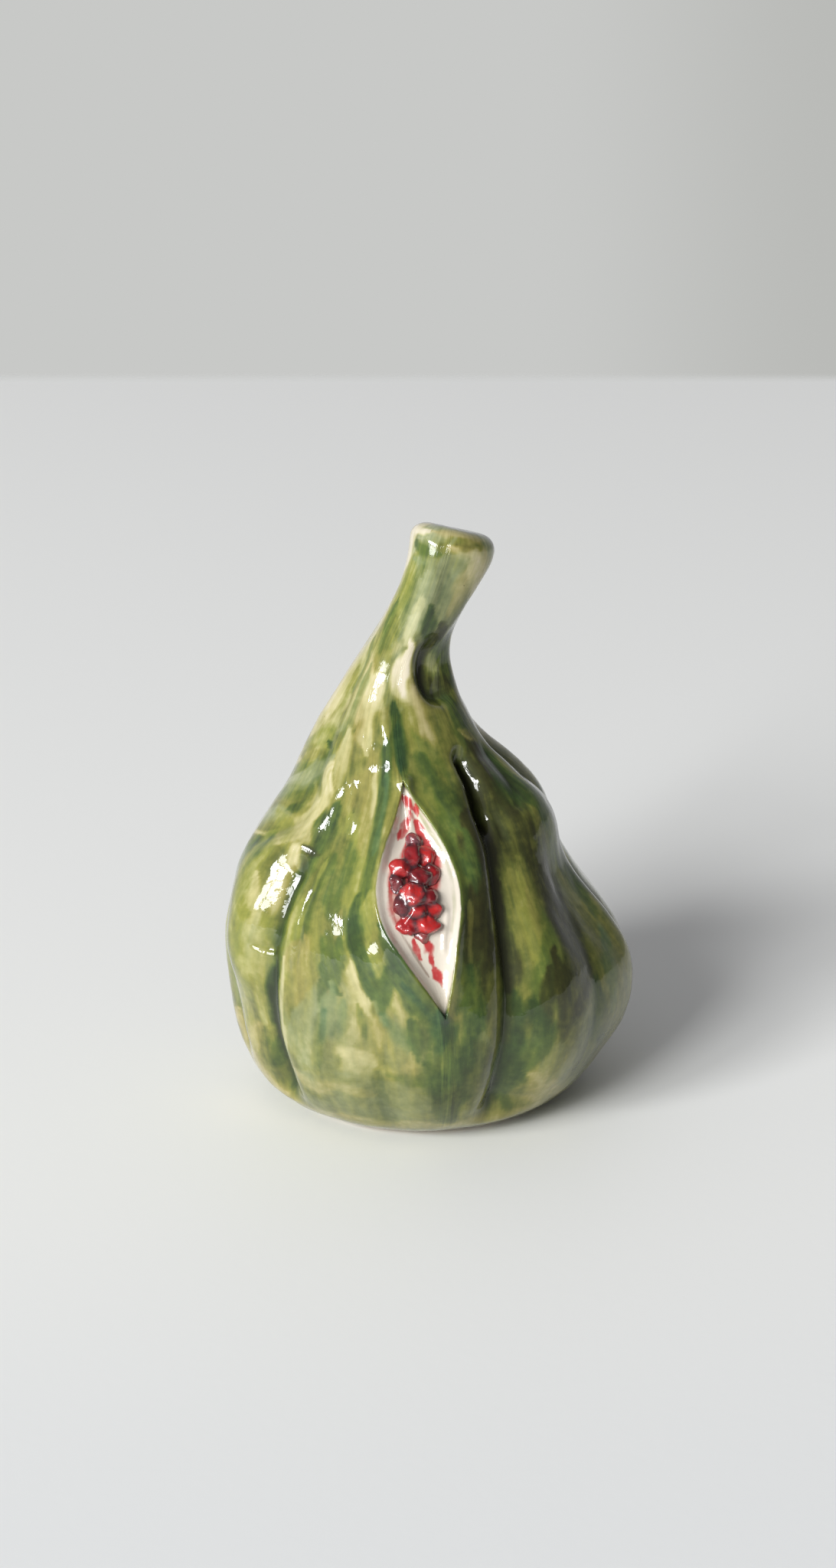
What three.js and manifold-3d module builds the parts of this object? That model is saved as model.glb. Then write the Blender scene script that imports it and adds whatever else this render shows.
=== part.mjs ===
// A hand-modelled fig in painted, glazed ceramic, at life size, with a slit that shows red seeds.
// Millimetres, +Z up. It stands on its flat foot, the slit faces -Y and the stem leans to +X.
// Places on it are given as a height above the foot and an angle round the upright axis,
// in degrees, 0 at the front and rising towards +X.

import * as THREE from 'three';
import { mergeVertices } from 'three/addons/utils/BufferGeometryUtils.js';
import Module from 'manifold-3d';

// The bare form, without folds: one row a level, from the middle of the foot to the middle of the stem's cut.
// height, reach to the right, left, front and back, middle x and y, lean to the right and back in degrees
const LEVELS = [
  [0.0, 0.0, 0.0, 0.0, 0.0, 0.0, 0.0, 0, 0],
  [0.0, 5.5, 6.0, 5.3, 6.0, 0.0, 0.0, 0, 0],
  [0.0, 10.4, 11.2, 10.2, 11.5, 0.0, 0.0, 0, 0],
  [0.0, 14.2, 15.4, 13.8, 16.0, 0.0, 0.0, 0, 0],
  [0.5, 17.2, 19.2, 17.2, 19.6, 0.0, 0.0, 0, 0],
  [3.0, 20.8, 22.8, 21.0, 22.4, 0.0, 0.0, 0, 0],
  [7.5, 24.1, 24.9, 24.0, 24.8, 0.0, 0.0, 0, 0],
  [12.5, 26.1, 25.9, 25.5, 25.8, 0.0, 0.0, 0, 0],
  [17.5, 27.0, 26.0, 25.6, 25.8, -0.2, 0.0, 0, 0],
  [22.5, 26.0, 25.8, 24.8, 25.0, -0.8, 0.0, 0, 0],
  [27.5, 22.5, 24.2, 23.0, 23.2, -1.8, 0.0, 0, 0],
  [32.5, 20.2, 21.9, 20.6, 21.0, -2.6, 0.0, 0, 0],
  [37.5, 19.6, 18.4, 17.6, 18.2, -2.8, 0.0, 0, 0],
  [42.0, 17.3, 15.2, 14.9, 15.0, -3.0, 0.1, 0, 0],
  [46.5, 12.1, 12.5, 11.7, 12.0, -3.6, 0.3, 0, 0],
  [50.5, 9.7, 9.8, 9.0, 9.4, -4.2, 0.6, 0, 1],
  [54.3, 8.0, 7.2, 6.8, 7.2, -4.3, 0.9, 3, 3],
  [58.0, 6.4, 5.4, 5.0, 6.0, -3.6, 1.2, 12, 6],
  [61.5, 4.9, 4.3, 5.5, 4.9, -2.2, 1.3, 20, 6],
  [65.0, 4.5, 4.0, 5.8, 4.6, -0.5, 1.4, 22, 6],
  [68.5, 5.0, 4.1, 6.0, 4.8, 0.9, 1.9, 21, 8],
  [71.5, 5.8, 4.6, 6.3, 5.4, 2.0, 2.6, 18, 12],
  [73.2, 6.2, 5.0, 6.4, 5.6, 2.4, 3.0, 13, 13],
  [74.5, 5.2, 4.3, 5.3, 4.8, 2.6, 3.2, 10, 13],
  [74.8, 3.4, 3.2, 3.4, 3.4, 2.8, 3.3, 12, 14],
  [74.6, 1.6, 1.6, 1.6, 1.6, 2.8, 3.4, 14, 14],
  [74.5, 0.0, 0.0, 0.0, 0.0, 2.8, 3.4, 14, 14],
];
const TOP_LEVEL = LEVELS.length - 1;
const FOOT_FLAT = 0.1; // rubbed off the underside, so that the foot is flat
const MIDDLE_X = -0.02; // of the form's box, so that the part stands centred on its origin
const MIDDLE_Y = -0.02;

// Folds pressed into the clay, and ridges with a depth below zero: depth, width to the left and to the
// right, the lengths over which it starts and runs out, then its course from the top down as heights
// and angles.
const FOLDS = [
  [2.6, 0.8, 1.0, 2.5, 5.0, [[49.4, 47.5], [47.5, 46], [44.5, 43], [41.5, 40.8], [38.5, 39.3]]],
  [2.6, 1.5, 3.6, 6.0, 4.0,
    [[46, 44.8], [43, 42], [40, 40], [36, 37.8], [33, 35.6], [28, 31.6], [23, 27.6], [18, 24.6], [12, 22.6],
      [7, 22], [2.5, 21.6]]],
  [1.8, 3.0, 1.5, 4.5, 3.0,
    [[38, -43], [34.2, -45], [28.3, -47.6], [24.9, -49.3], [20.8, -50.3], [15.3, -52], [9, -52.5],
      [3, -51.5]]],
  [0.45, 0.7, 0.6, 3.0, 5.0,
    [[35.5, -34.6], [33.3, -36.2], [31.1, -37.7], [28.3, -38.4], [24.7, -39.8], [20, -41]]],
  [0.09, 0.35, 0.35, 1.5, 3.0, [[45.4, -32.2], [44.4, -33.8], [43.2, -36], [41, -38.5]]],
  [0.12, 0.35, 0.35, 1.5, 2.5,
    [[45.9, -30], [45.2, -26.4], [43.6, -23.8], [41.9, -23], [40.5, -23.8], [38.9, -27]]],
  [0.15, 1.0, 2.0, 4.0, 2.0, [[43, -36], [41, -39], [38.5, -42], [36.8, -45]]],
  [0.6, 0.4, 0.7, 2.0, 1.5, [[25.6, -58], [25.2, -53], [25, -48]]],
  [0.7, 1.8, 1.4, 4.0, 5.0, [[42.4, -55], [40.2, -56], [38, -62], [36, -70], [34.8, -80]]],
  [0.6, 1.6, 1.0, 3.0, 2.0, [[49, 74], [46.5, 70.5], [44, 67], [42, 63.5], [40.6, 60]]],
  [0.5, 2.6, 2.2, 5.0, 6.0, [[41.5, 68], [37.5, 68], [32, 66.5], [27, 63], [20, 58], [12, 54], [4, 52]]],
  [0.6, 2.0, 2.2, 5.0, 6.0, [[46, 84], [42, 83], [38, 82.5], [31, 81], [25, 78]]],
  [0.4, 0.5, 0.9, 2.0, 2.0, [[44, 51], [42, 49.7], [40, 48.5], [38, 47]]],
  [0.4, 1.0, 1.8, 3.0, 5.0, [[72, 6], [69, 9], [66, 11], [63, 14], [60, 17], [57, 21]]],
  [1.4, 0.8, 1.8, 5.0, 3.0,
    [[63.5, 23], [60.5, 26], [58, 29], [56.2, 35], [55.2, 42], [54.9, 53], [55.3, 64], [56, 74]]],
  [0.6, 1.8, 1.2, 5.0, 6.0, [[60, -66], [54, -60], [48, -56], [42, -53], [37, -51]]],
  [-0.8, 1.6, 1.1, 3.0, 5.0, [[54.2, -15], [52.8, -11.5], [50.4, -6.5], [48, -5.5], [46.5, -6.5]]],
  [-0.7, 1.8, 1.0, 3.0, 8.0, [[50, -6.2], [47.5, -5.8], [44, -9], [40, -12.5], [35, -14.5]]],
  [0.45, 1.2, 1.0, 2.0, 4.0, [[21.5, 5.2], [17.5, 6.5], [14, 7]]],
  [0.5, 1.8, 1.4, 5.0, 4.0, [[17, -14], [12, -14.5], [7, -15], [2.5, -15]]],
  [1.3, 1.8, 1.6, 6.0, 6.0, [[52, 100], [42, 95], [32, 93], [20, 90], [6, 88]]],
  [1.7, 1.4, 2.2, 6.0, 5.0, [[46, 125], [36, 122], [27, 121], [14, 117], [3, 115]]],
  [1.2, 1.6, 1.4, 6.0, 6.0, [[58, 152], [47, 148], [38, 146], [28, 147]]],
  [1.1, 1.8, 1.4, 6.0, 5.0, [[36, 164], [26, 160], [17, 158], [4, 157]]],
  [1.9, 2.0, 1.2, 6.0, 6.0, [[54, -172], [43, -173], [33, -170], [22, -168], [5, -169]]],
  [1.1, 1.4, 1.4, 6.0, 6.0, [[50, -141], [41, -142], [33, -145], [24, -144]]],
  [1.4, 1.4, 2.0, 6.0, 4.0, [[33, -128], [23, -127], [13, -126], [3, -124]]],
  [1.3, 2.0, 1.4, 6.0, 6.0, [[51, -111], [42, -108], [35, -106], [27, -103], [18, -101], [5, -99]]],
  [1.0, 1.6, 1.6, 6.0, 5.0, [[32, -82], [23, -78], [14, -76], [5, -75]]],
];
// Hollows, and swellings with a depth below zero: height, angle, half width, half length, depth.
const HOLLOWS = [
  [59.5, 50, 3.2, 4.6, 0.8],
  [8.0, -50, 2.6, 5.0, 0.7],
  [32.5, -62.5, 5.0, 12.0, -1.8],
  [23.5, -60, 4.5, 6.5, -1.2],
  [27, 74, 3.0, 8.0, 0.6],
  [40, 80, 6.0, 5.0, -0.6],
  [26.8, -14, 2.4, 3.6, -0.7],
  [27, 42, 4.5, 10.0, -0.8],
  [30, -2, 7.0, 10.0, -2.0],
];
const RIDGE_SHARE = 0.08; // of a fold's depth, raised as a soft ridge beside it
const RELIEF_FROM = 3.3; // the levels between which folds and ribs lie
const RELIEF_TO = 23.2;
const RELIEF_FADE = 1.2;

// The slit's edges from its top tip to its bottom tip, as heights and angles.
const SLIT_LEFT = [
  [45.9, 1.2], [42.5, -4], [39, -8.8], [35, -11.2], [31, -9.2], [27, -3.6], [23, 2.2], [20.3, 5.5],
];
const SLIT_RIGHT = [
  [45.9, 1.2], [43.8, 7], [40.5, 14.6], [36.5, 19], [32.6, 18], [28, 12.8], [24, 8.9], [20.3, 5.5],
];
const SLIT_DEPTH = 1.4;
const SLIT_FULL_WIDTH = 5.5; // width at which the slit reaches its full depth
const SLIT_WALL_POWER = 2.6; // rounded walls and a flat floor
const SLIT_CLEARANCE = 4; // the cutter stands this far out of the clay
const LIPS = [[SLIT_LEFT, 0.6, 1.3], [SLIT_RIGHT, 0.35, 0.7]]; // edge, rise and width of each raised lip

// Seeds, pressed on side by side: height, angle, half width, half height, rise above the slit's floor.
const SEEDS = [
  [40.1, 3.0, 1.05, 1.1, 1.1], [38.2, 2.3, 1.15, 1.7, 1.4], [38.4, 8.0, 1.4, 1.5, 0.8],
  [36.9, -2.8, 1.35, 1.4, 1.2], [35.2, -4.2, 0.95, 1.3, 0.8], [36.2, 9.4, 1.1, 1.5, 0.9],
  [36.0, 4.6, 1.5, 1.4, 1.5], [33.9, 1.2, 1.75, 1.75, 1.9], [33.7, 6.6, 1.4, 1.3, 1.5],
  [32.9, -2.4, 1.1, 1.5, 1.1], [32.2, 2.6, 1.4, 1.2, 1.5], [32.4, 7.6, 1.2, 1.1, 1.1],
  [30.7, -1.2, 1.5, 1.2, 0.9], [30.8, 4.2, 1.9, 1.3, 1.3], [29.5, 3.4, 1.0, 0.9, 0.6],
];
const SEED_ROOT = 0.4; // how far a seed is sunk into the floor

// How finely the body is divided: columns round it, closer together at the front, and rows a level.
const COLUMNS = 80;
const FRONT_CROWDING = 0.42;
const FOLLOW_HEIGHT = 25; // columns near the deep fold swing to follow it above and below this height
const FOLLOW_WIDTH = 25; // degrees
const ROWS_A_LEVEL = 2;
const FIRST_ROW = 3; // the last level of the flat foot, where the rows begin
const SLIT_STEPS = 20;
const SLIT_COLUMNS = 8;
const SEED_DETAIL = 1;

const radians = THREE.MathUtils.degToRad;

function smoothstep(from, to, x) {
  const t = THREE.MathUtils.clamp((x - from) / (to - from), 0, 1);
  return t * t * (3 - 2 * t);
}

// The bare form's values at a level, from a uniform cubic B-spline through the rows of LEVELS.
function levelValues(level) {
  const i = Math.min(Math.floor(level), TOP_LEVEL - 1);
  const f = level - i;
  const mirrored = (end, next) => end.map((v, k) => 2 * v - next[k]);
  const before = i > 0 ? LEVELS[i - 1] : mirrored(LEVELS[0], LEVELS[1]);
  const after = i + 2 <= TOP_LEVEL ? LEVELS[i + 2] : mirrored(LEVELS[TOP_LEVEL], LEVELS[TOP_LEVEL - 1]);
  const rows = [before, LEVELS[i], LEVELS[i + 1], after];
  const weights = [(1 - f) ** 3, 3 * f ** 3 - 6 * f ** 2 + 4, -3 * f ** 3 + 3 * f ** 2 + 3 * f + 1, f ** 3];
  return LEVELS[i].map((_, k) => rows.reduce((sum, row, n) => sum + weights[n] * row[k], 0) / 6);
}

function barePoint(phi, level) {
  const [height, right, left, front, back, x, y, leanRight, leanBack] = levelValues(level);
  const reach = (right + left + front + back) / 4 + ((right - left) / 2) * Math.sin(phi)
    + ((front - back) / 2) * Math.cos(phi) + ((front + back - right - left) / 4) * Math.cos(2 * phi);
  const across = reach * Math.sin(phi);
  const away = -reach * Math.cos(phi);
  return new THREE.Vector3(
    x + across * Math.cos(radians(leanRight)),
    y + away * Math.cos(radians(leanBack)),
    height - FOOT_FLAT - across * Math.sin(radians(leanRight)) - away * Math.sin(radians(leanBack)),
  );
}

function bareNormal(phi, level) {
  const step = 1e-3;
  const above = barePoint(phi, Math.min(level + step, TOP_LEVEL));
  const along = above.sub(barePoint(phi, Math.max(level - step, 0)));
  const around = barePoint(phi + step, level).sub(barePoint(phi - step, level));
  return around.cross(along).normalize();
}

// The level at which the bare form's middle has a height, found by halving between foot and rim.
function levelAt(height) {
  let low = 3;
  let high = 23;
  for (let k = 0; k < 40; k += 1) {
    const middle = (low + high) / 2;
    if (levelValues(middle)[0] < height) low = middle;
    else high = middle;
  }
  return low;
}

const onForm = (height, angle) => barePoint(radians(angle), levelAt(height));

// Evenly numbered points on a smooth curve through pairs of height and angle.
function curveThrough(points, count) {
  const places = points.map(([height, angle]) => new THREE.Vector3(height, angle, 0));
  const curve = new THREE.CatmullRomCurve3(places, false, 'catmullrom', 0.5);
  return Array.from({ length: count }, (_, k) => curve.getPoint(k / (count - 1)));
}

// A course on the form, as straight pieces with their directions and their distances from its start.
function course(points, count = 33) {
  const line = curveThrough(points, count).map((p) => onForm(p.x, p.y));
  const pieces = [];
  let run = 0;
  for (let k = 1; k < line.length; k += 1) {
    const direction = line[k].clone().sub(line[k - 1]);
    const length = direction.length();
    pieces.push({ start: line[k - 1], direction: direction.divideScalar(length), length, run });
    run += length;
  }
  return { pieces, length: run };
}

// Distance from a course, below zero to its left, and the lengths from its two ends.
function placeBy({ pieces, length }, point, normal) {
  let best = Infinity;
  let found = null;
  const offset = new THREE.Vector3();
  for (const piece of pieces) {
    offset.subVectors(point, piece.start);
    const t = THREE.MathUtils.clamp(offset.dot(piece.direction), 0, piece.length);
    offset.addScaledVector(piece.direction, -t);
    const distance = offset.length();
    if (distance < best) {
      best = distance;
      const side = offset.dot(new THREE.Vector3().crossVectors(normal, piece.direction));
      found = { distance: distance * Math.sign(side), fromStart: piece.run + t };
    }
  }
  return { ...found, toEnd: length - found.fromStart };
}

const foldCourses = FOLDS.map((fold) => ({ fold, course: course(fold[5]) }));
const lipCourses = LIPS.map(([edge, rise, width]) => ({ course: course(edge), rise, width }));
const hollows = HOLLOWS.map(([height, angle, halfWidth, halfLength, depth]) => ({
  middle: onForm(height, angle),
  along: onForm(height + 1, angle).sub(onForm(height - 1, angle)).normalize(),
  halfWidth,
  halfLength,
  depth,
}));

// Broad ribs and the slight unevenness of hand-pressed clay.
function ribs(phi, height) {
  const body = smoothstep(2, 12, height) * (1 - smoothstep(34, 50, height));
  return body * (0.26 * Math.sin(9 * phi + 0.7 + 0.03 * height)
    + 0.16 * Math.sin(5 * phi - 1.1 + 0.05 * height)
    + 0.13 * Math.sin(13 * phi + 2.0 - 0.04 * height))
    + 0.18 * smoothstep(1, 8, height) * Math.sin(0.31 * height + 2.2 * Math.sin(2 * phi + 0.5))
    * Math.sin(3 * phi + 0.11 * height);
}

function foldRelief([depth, left, right, fadeIn, fadeOut], { distance, fromStart, toEnd }) {
  const width = left + (right - left) * smoothstep(-0.3, 0.3, distance);
  const keep = smoothstep(0, fadeIn, fromStart) * smoothstep(0, fadeOut, toEnd);
  const softness = 0.35;
  const groove = Math.exp(softness - Math.hypot(distance / width, softness));
  const ridge = RIDGE_SHARE * Math.exp(-(((Math.abs(distance) - 2.2 * width) / width) ** 2));
  return depth * keep * (ridge - groove);
}

// How far the hollows and swellings move the clay out, at a point of the bare form.
function swelling(point) {
  let out = 0;
  for (const { middle, along, halfWidth, halfLength, depth } of hollows) {
    const offset = point.clone().sub(middle);
    const lengthwise = offset.dot(along);
    const sideways = offset.lengthSq() - lengthwise ** 2;
    out -= depth * Math.exp(-((sideways / halfWidth ** 2 + (lengthwise / halfLength) ** 2) ** 1.3));
  }
  return out;
}

// How far the clay stands out of the bare form, or below it, before the slit is cut.
function relief(phi, level) {
  const point = barePoint(phi, level);
  const normal = bareNormal(phi, level);
  let out = ribs(phi, levelValues(level)[0]);
  for (const { fold, course: line } of foldCourses) out += foldRelief(fold, placeBy(line, point, normal));
  out += swelling(point);
  for (const { course: line, rise, width } of lipCourses) {
    out += rise * Math.exp(-((placeBy(line, point, normal).distance / width) ** 2));
  }
  const foot = smoothstep(RELIEF_FROM, RELIEF_FROM + RELIEF_FADE, level);
  const rim = 1 - smoothstep(RELIEF_TO - RELIEF_FADE, RELIEF_TO, level);
  return out * foot * rim;
}

function clayPoint(phi, level) {
  const point = barePoint(phi, level).addScaledVector(bareNormal(phi, level), relief(phi, level));
  point.z = Math.max(point.z, 0);
  return point;
}

// A closed solid from rings of points, each ring listed the same way round, with a fan at either end.
function ringSolid(rings, first, last) {
  const count = rings[0].length;
  const points = [first, ...rings.flat(), last];
  const at = (ring, k) => 1 + ring * count + ((k + count) % count);
  const faces = [];
  for (let k = 0; k < count; k += 1) {
    faces.push(0, at(0, k + 1), at(0, k));
    for (let ring = 1; ring < rings.length; ring += 1) {
      faces.push(at(ring - 1, k), at(ring - 1, k + 1), at(ring, k + 1));
      faces.push(at(ring - 1, k), at(ring, k + 1), at(ring, k));
    }
    faces.push(at(rings.length - 1, k), at(rings.length - 1, k + 1), points.length - 1);
  }
  const geometry = new THREE.BufferGeometry();
  geometry.setAttribute('position', new THREE.Float32BufferAttribute(points.flatMap((p) => p.toArray()), 3));
  geometry.setIndex(faces);
  return geometry;
}

// Angle at which a course given as heights and angles crosses a height.
function angleAt(curve, height) {
  const below = curve.findIndex((p) => p.x <= height);
  if (below < 1) return curve[below < 0 ? curve.length - 1 : 0].y;
  const [a, b] = [curve[below - 1], curve[below]];
  return THREE.MathUtils.mapLinear(height, a.x, b.x, a.y, b.y);
}

const deepFold = curveThrough([...FOLDS[0][5].slice(0, 2), ...FOLDS[1][5].slice(1)], 60);

// Columns crowd together at the front, and those near the deep fold run along it.
function columnAngle(column, level) {
  const even = -Math.PI + (2 * Math.PI * column) / COLUMNS;
  const crowded = even - FRONT_CROWDING * Math.sin(even);
  const home = angleAt(deepFold, FOLLOW_HEIGHT);
  const swing = angleAt(deepFold, levelValues(level)[0]) - home;
  const away = (THREE.MathUtils.radToDeg(crowded) - home) / FOLLOW_WIDTH;
  return crowded + radians(swing) * Math.exp(-(away ** 2));
}

function body() {
  const rows = Math.round((TOP_LEVEL - FIRST_ROW) * ROWS_A_LEVEL);
  const rings = Array.from({ length: rows }, (_, row) => {
    const level = FIRST_ROW + row / ROWS_A_LEVEL;
    return Array.from({ length: COLUMNS }, (__, column) => clayPoint(columnAngle(column, level), level));
  });
  const foot = barePoint(0, 0).setZ(0);
  return ringSolid(rings, foot, barePoint(0, TOP_LEVEL));
}

const slitEdges = [curveThrough(SLIT_LEFT, 60), curveThrough(SLIT_RIGHT, 60)];

// Where the slit's edges are at a height, and how deep its floor lies between them, across from -1 to 1.
function slitAt(height) {
  const [left, right] = slitEdges.map((edge) => angleAt(edge, height));
  const width = onForm(height, left).distanceTo(onForm(height, right));
  const depth = SLIT_DEPTH * smoothstep(0, SLIT_FULL_WIDTH, width);
  return { left, right, floor: (across) => depth * (1 - Math.abs(across) ** SLIT_WALL_POWER) };
}

// A point straight out of the bare form, or into it where out is below zero.
function offForm(height, angle, out) {
  const level = levelAt(height);
  return barePoint(radians(angle), level).addScaledVector(bareNormal(radians(angle), level), out);
}

// The tool that opens the slit: its rings follow the slit down, and its inner side is the floor's shape.
function slitCutter() {
  const [top, tip] = [SLIT_LEFT[0], SLIT_LEFT[SLIT_LEFT.length - 1]];
  const rings = [];
  for (let step = 1; step < SLIT_STEPS; step += 1) {
    const height = THREE.MathUtils.lerp(top[0], tip[0], step / SLIT_STEPS);
    const { left, right, floor } = slitAt(height);
    const inner = [];
    const outer = [];
    for (let k = 0; k <= SLIT_COLUMNS; k += 1) {
      const across = -Math.cos((Math.PI * k) / SLIT_COLUMNS);
      const angle = THREE.MathUtils.mapLinear(across, -1, 1, left, right);
      inner.push(offForm(height, angle, swelling(onForm(height, angle)) - floor(across)));
      outer.unshift(offForm(height, angle, SLIT_CLEARANCE));
    }
    rings.push([...inner, ...outer]);
  }
  return ringSolid(rings, offForm(...top, SLIT_CLEARANCE / 2), offForm(...tip, SLIT_CLEARANCE / 2));
}

// A seed is rounded as seen from outside, and as thick as its rise and its root in the floor together.
function seed([height, angle, halfWidth, halfHeight, rise]) {
  const { left, right, floor } = slitAt(height);
  const depth = floor(THREE.MathUtils.mapLinear(angle, left, right, -1, 1));
  const halfTall = (rise + SEED_ROOT) / 2;
  const clay = swelling(onForm(height, angle)) - depth;
  const middle = offForm(height, angle, clay + rise - halfTall);
  const outward = offForm(height, angle, 1).sub(offForm(height, angle, 0));
  const turn = new THREE.Quaternion().setFromUnitVectors(new THREE.Vector3(0, 0, 1), outward);
  const place = new THREE.Matrix4().compose(middle, turn, new THREE.Vector3(halfWidth, halfHeight, halfTall));
  return new THREE.IcosahedronGeometry(1, SEED_DETAIL).applyMatrix4(place);
}

const wasm = await Module();
wasm.setup();

function toSolid(geometry) {
  const bare = geometry.clone();
  bare.deleteAttribute('normal');
  bare.deleteAttribute('uv');
  const merged = mergeVertices(bare, 1e-5);
  const mesh = new wasm.Mesh({
    numProp: 3,
    vertProperties: new Float32Array(merged.attributes.position.array),
    triVerts: new Uint32Array(merged.index.array),
  });
  return new wasm.Manifold(mesh);
}

function toGeometry(solid) {
  const mesh = solid.getMesh();
  const geometry = new THREE.BufferGeometry();
  geometry.setAttribute('position', new THREE.BufferAttribute(new Float32Array(mesh.vertProperties), 3));
  geometry.setIndex(new THREE.BufferAttribute(new Uint32Array(mesh.triVerts), 1));
  geometry.computeVertexNormals();
  return geometry;
}

function ceramicFig() {
  let solid = toSolid(body()).subtract(toSolid(slitCutter()));
  for (const values of SEEDS) solid = solid.add(toSolid(seed(values)));
  // Only the outer skin is kept, so that no hollow is left shut in under the seeds.
  [solid] = solid.decompose().sort((a, b) => b.volume() - a.volume());
  const glazed = new THREE.MeshStandardMaterial({ color: 0x7f8f45, roughness: 0.15, metalness: 0 });
  const mesh = new THREE.Mesh(toGeometry(solid), glazed);
  mesh.name = 'ceramic_fig';
  mesh.position.set(-MIDDLE_X, -MIDDLE_Y, 0);
  return mesh;
}

const fig = new THREE.Group();
fig.add(ceramicFig());

export default fig;
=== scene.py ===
# A hand-modelled fig in painted, glazed ceramic, at life size, with a slit that shows red seeds.
# The form is worked out in millimetres and made in metres. It stands on its flat foot with the slit to -Y
# and the stem leaning to +X. Places on it are given as a height above the foot and an angle round the
# upright axis, in degrees, 0 at the front and rising towards +X. Lengths are in millimetres unless a comment
# says otherwise.

import math

import bpy
import numpy as np
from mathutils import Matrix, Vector, noise


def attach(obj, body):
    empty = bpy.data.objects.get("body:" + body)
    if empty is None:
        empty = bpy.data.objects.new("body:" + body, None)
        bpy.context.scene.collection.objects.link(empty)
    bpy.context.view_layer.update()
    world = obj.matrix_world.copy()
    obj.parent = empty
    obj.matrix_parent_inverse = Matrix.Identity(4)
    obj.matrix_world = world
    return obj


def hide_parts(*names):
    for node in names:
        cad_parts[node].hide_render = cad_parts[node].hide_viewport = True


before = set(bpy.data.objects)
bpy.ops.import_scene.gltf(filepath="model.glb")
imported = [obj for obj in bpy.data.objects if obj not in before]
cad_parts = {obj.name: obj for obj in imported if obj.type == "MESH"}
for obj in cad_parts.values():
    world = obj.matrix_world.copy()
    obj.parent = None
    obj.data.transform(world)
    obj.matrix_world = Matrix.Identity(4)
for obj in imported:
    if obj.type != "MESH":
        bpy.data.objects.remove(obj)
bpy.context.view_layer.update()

MM = 0.001
PER_MM = 1000.0  # turns Object coordinates into millimetres for a pattern

# The bare form, without folds: one row a level, from the middle of the foot to the middle of the stem's cut.
# height, reach to the right, left, front and back, middle x and y, then the lean to the right and to the back
# in degrees
LEVELS = np.array([
    (0.0, 0.0, 0.0, 0.0, 0.0, 0.0, 0.0, 0, 0),
    (0.0, 5.5, 6.0, 5.3, 6.0, 0.0, 0.0, 0, 0),
    (0.0, 10.4, 11.2, 10.2, 11.5, 0.0, 0.0, 0, 0),
    (0.0, 14.2, 15.4, 13.8, 16.0, 0.0, 0.0, 0, 0),
    (0.5, 17.2, 19.2, 17.2, 19.6, 0.0, 0.0, 0, 0),
    (3.0, 20.8, 22.8, 21.0, 22.4, 0.0, 0.0, 0, 0),
    (7.5, 24.1, 24.9, 24.0, 24.8, 0.0, 0.0, 0, 0),
    (12.5, 26.1, 25.9, 25.5, 25.8, 0.0, 0.0, 0, 0),
    (17.5, 27.0, 26.0, 25.6, 25.8, -0.2, 0.0, 0, 0),
    (22.5, 26.0, 25.8, 24.8, 25.0, -0.8, 0.0, 0, 0),
    (27.5, 22.5, 24.2, 23.0, 23.2, -1.8, 0.0, 0, 0),
    (32.5, 20.2, 21.9, 20.6, 21.0, -2.6, 0.0, 0, 0),
    (37.5, 19.6, 18.4, 17.6, 18.2, -2.8, 0.0, 0, 0),
    (42.0, 17.3, 15.2, 14.9, 15.0, -3.0, 0.1, 0, 0),
    (46.5, 12.1, 12.5, 11.7, 12.0, -3.6, 0.3, 0, 0),
    (50.5, 9.7, 9.8, 9.0, 9.4, -4.2, 0.6, 0, 1),
    (54.3, 8.0, 7.2, 6.8, 7.2, -4.3, 0.9, 3, 3),
    (58.0, 6.4, 5.4, 5.0, 6.0, -3.6, 1.2, 12, 6),
    (61.5, 4.9, 4.3, 5.5, 4.9, -2.2, 1.3, 20, 6),
    (65.0, 4.5, 4.0, 5.8, 4.6, -0.5, 1.4, 22, 6),
    (68.5, 5.0, 4.1, 6.0, 4.8, 0.9, 1.9, 21, 8),
    (71.5, 5.8, 4.6, 6.3, 5.4, 2.0, 2.6, 18, 12),
    (73.2, 6.2, 5.0, 6.4, 5.6, 2.4, 3.0, 13, 13),
    (74.5, 5.2, 4.3, 5.3, 4.8, 2.6, 3.2, 10, 13),
    (74.8, 3.4, 3.2, 3.4, 3.4, 2.8, 3.3, 12, 14),
    (74.6, 1.6, 1.6, 1.6, 1.6, 2.8, 3.4, 14, 14),
    (74.5, 0.0, 0.0, 0.0, 0.0, 2.8, 3.4, 14, 14),
])
TOP_LEVEL = len(LEVELS) - 1
FIRST_LEVEL = 3  # the last level of the flat foot, where the rows begin
RIM_LEVEL = 23  # at the rim of the stem's cut, up to which a height has one level
CUT_GAP = 0.02  # how many levels the last row stops short of the middle of the stem's cut
FOOT_FLAT = 0.1  # rubbed off the underside, so that the foot is flat
MIDDLE = (-0.02, -0.02)  # of the form's box, so that the piece stands centred on its origin

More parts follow.
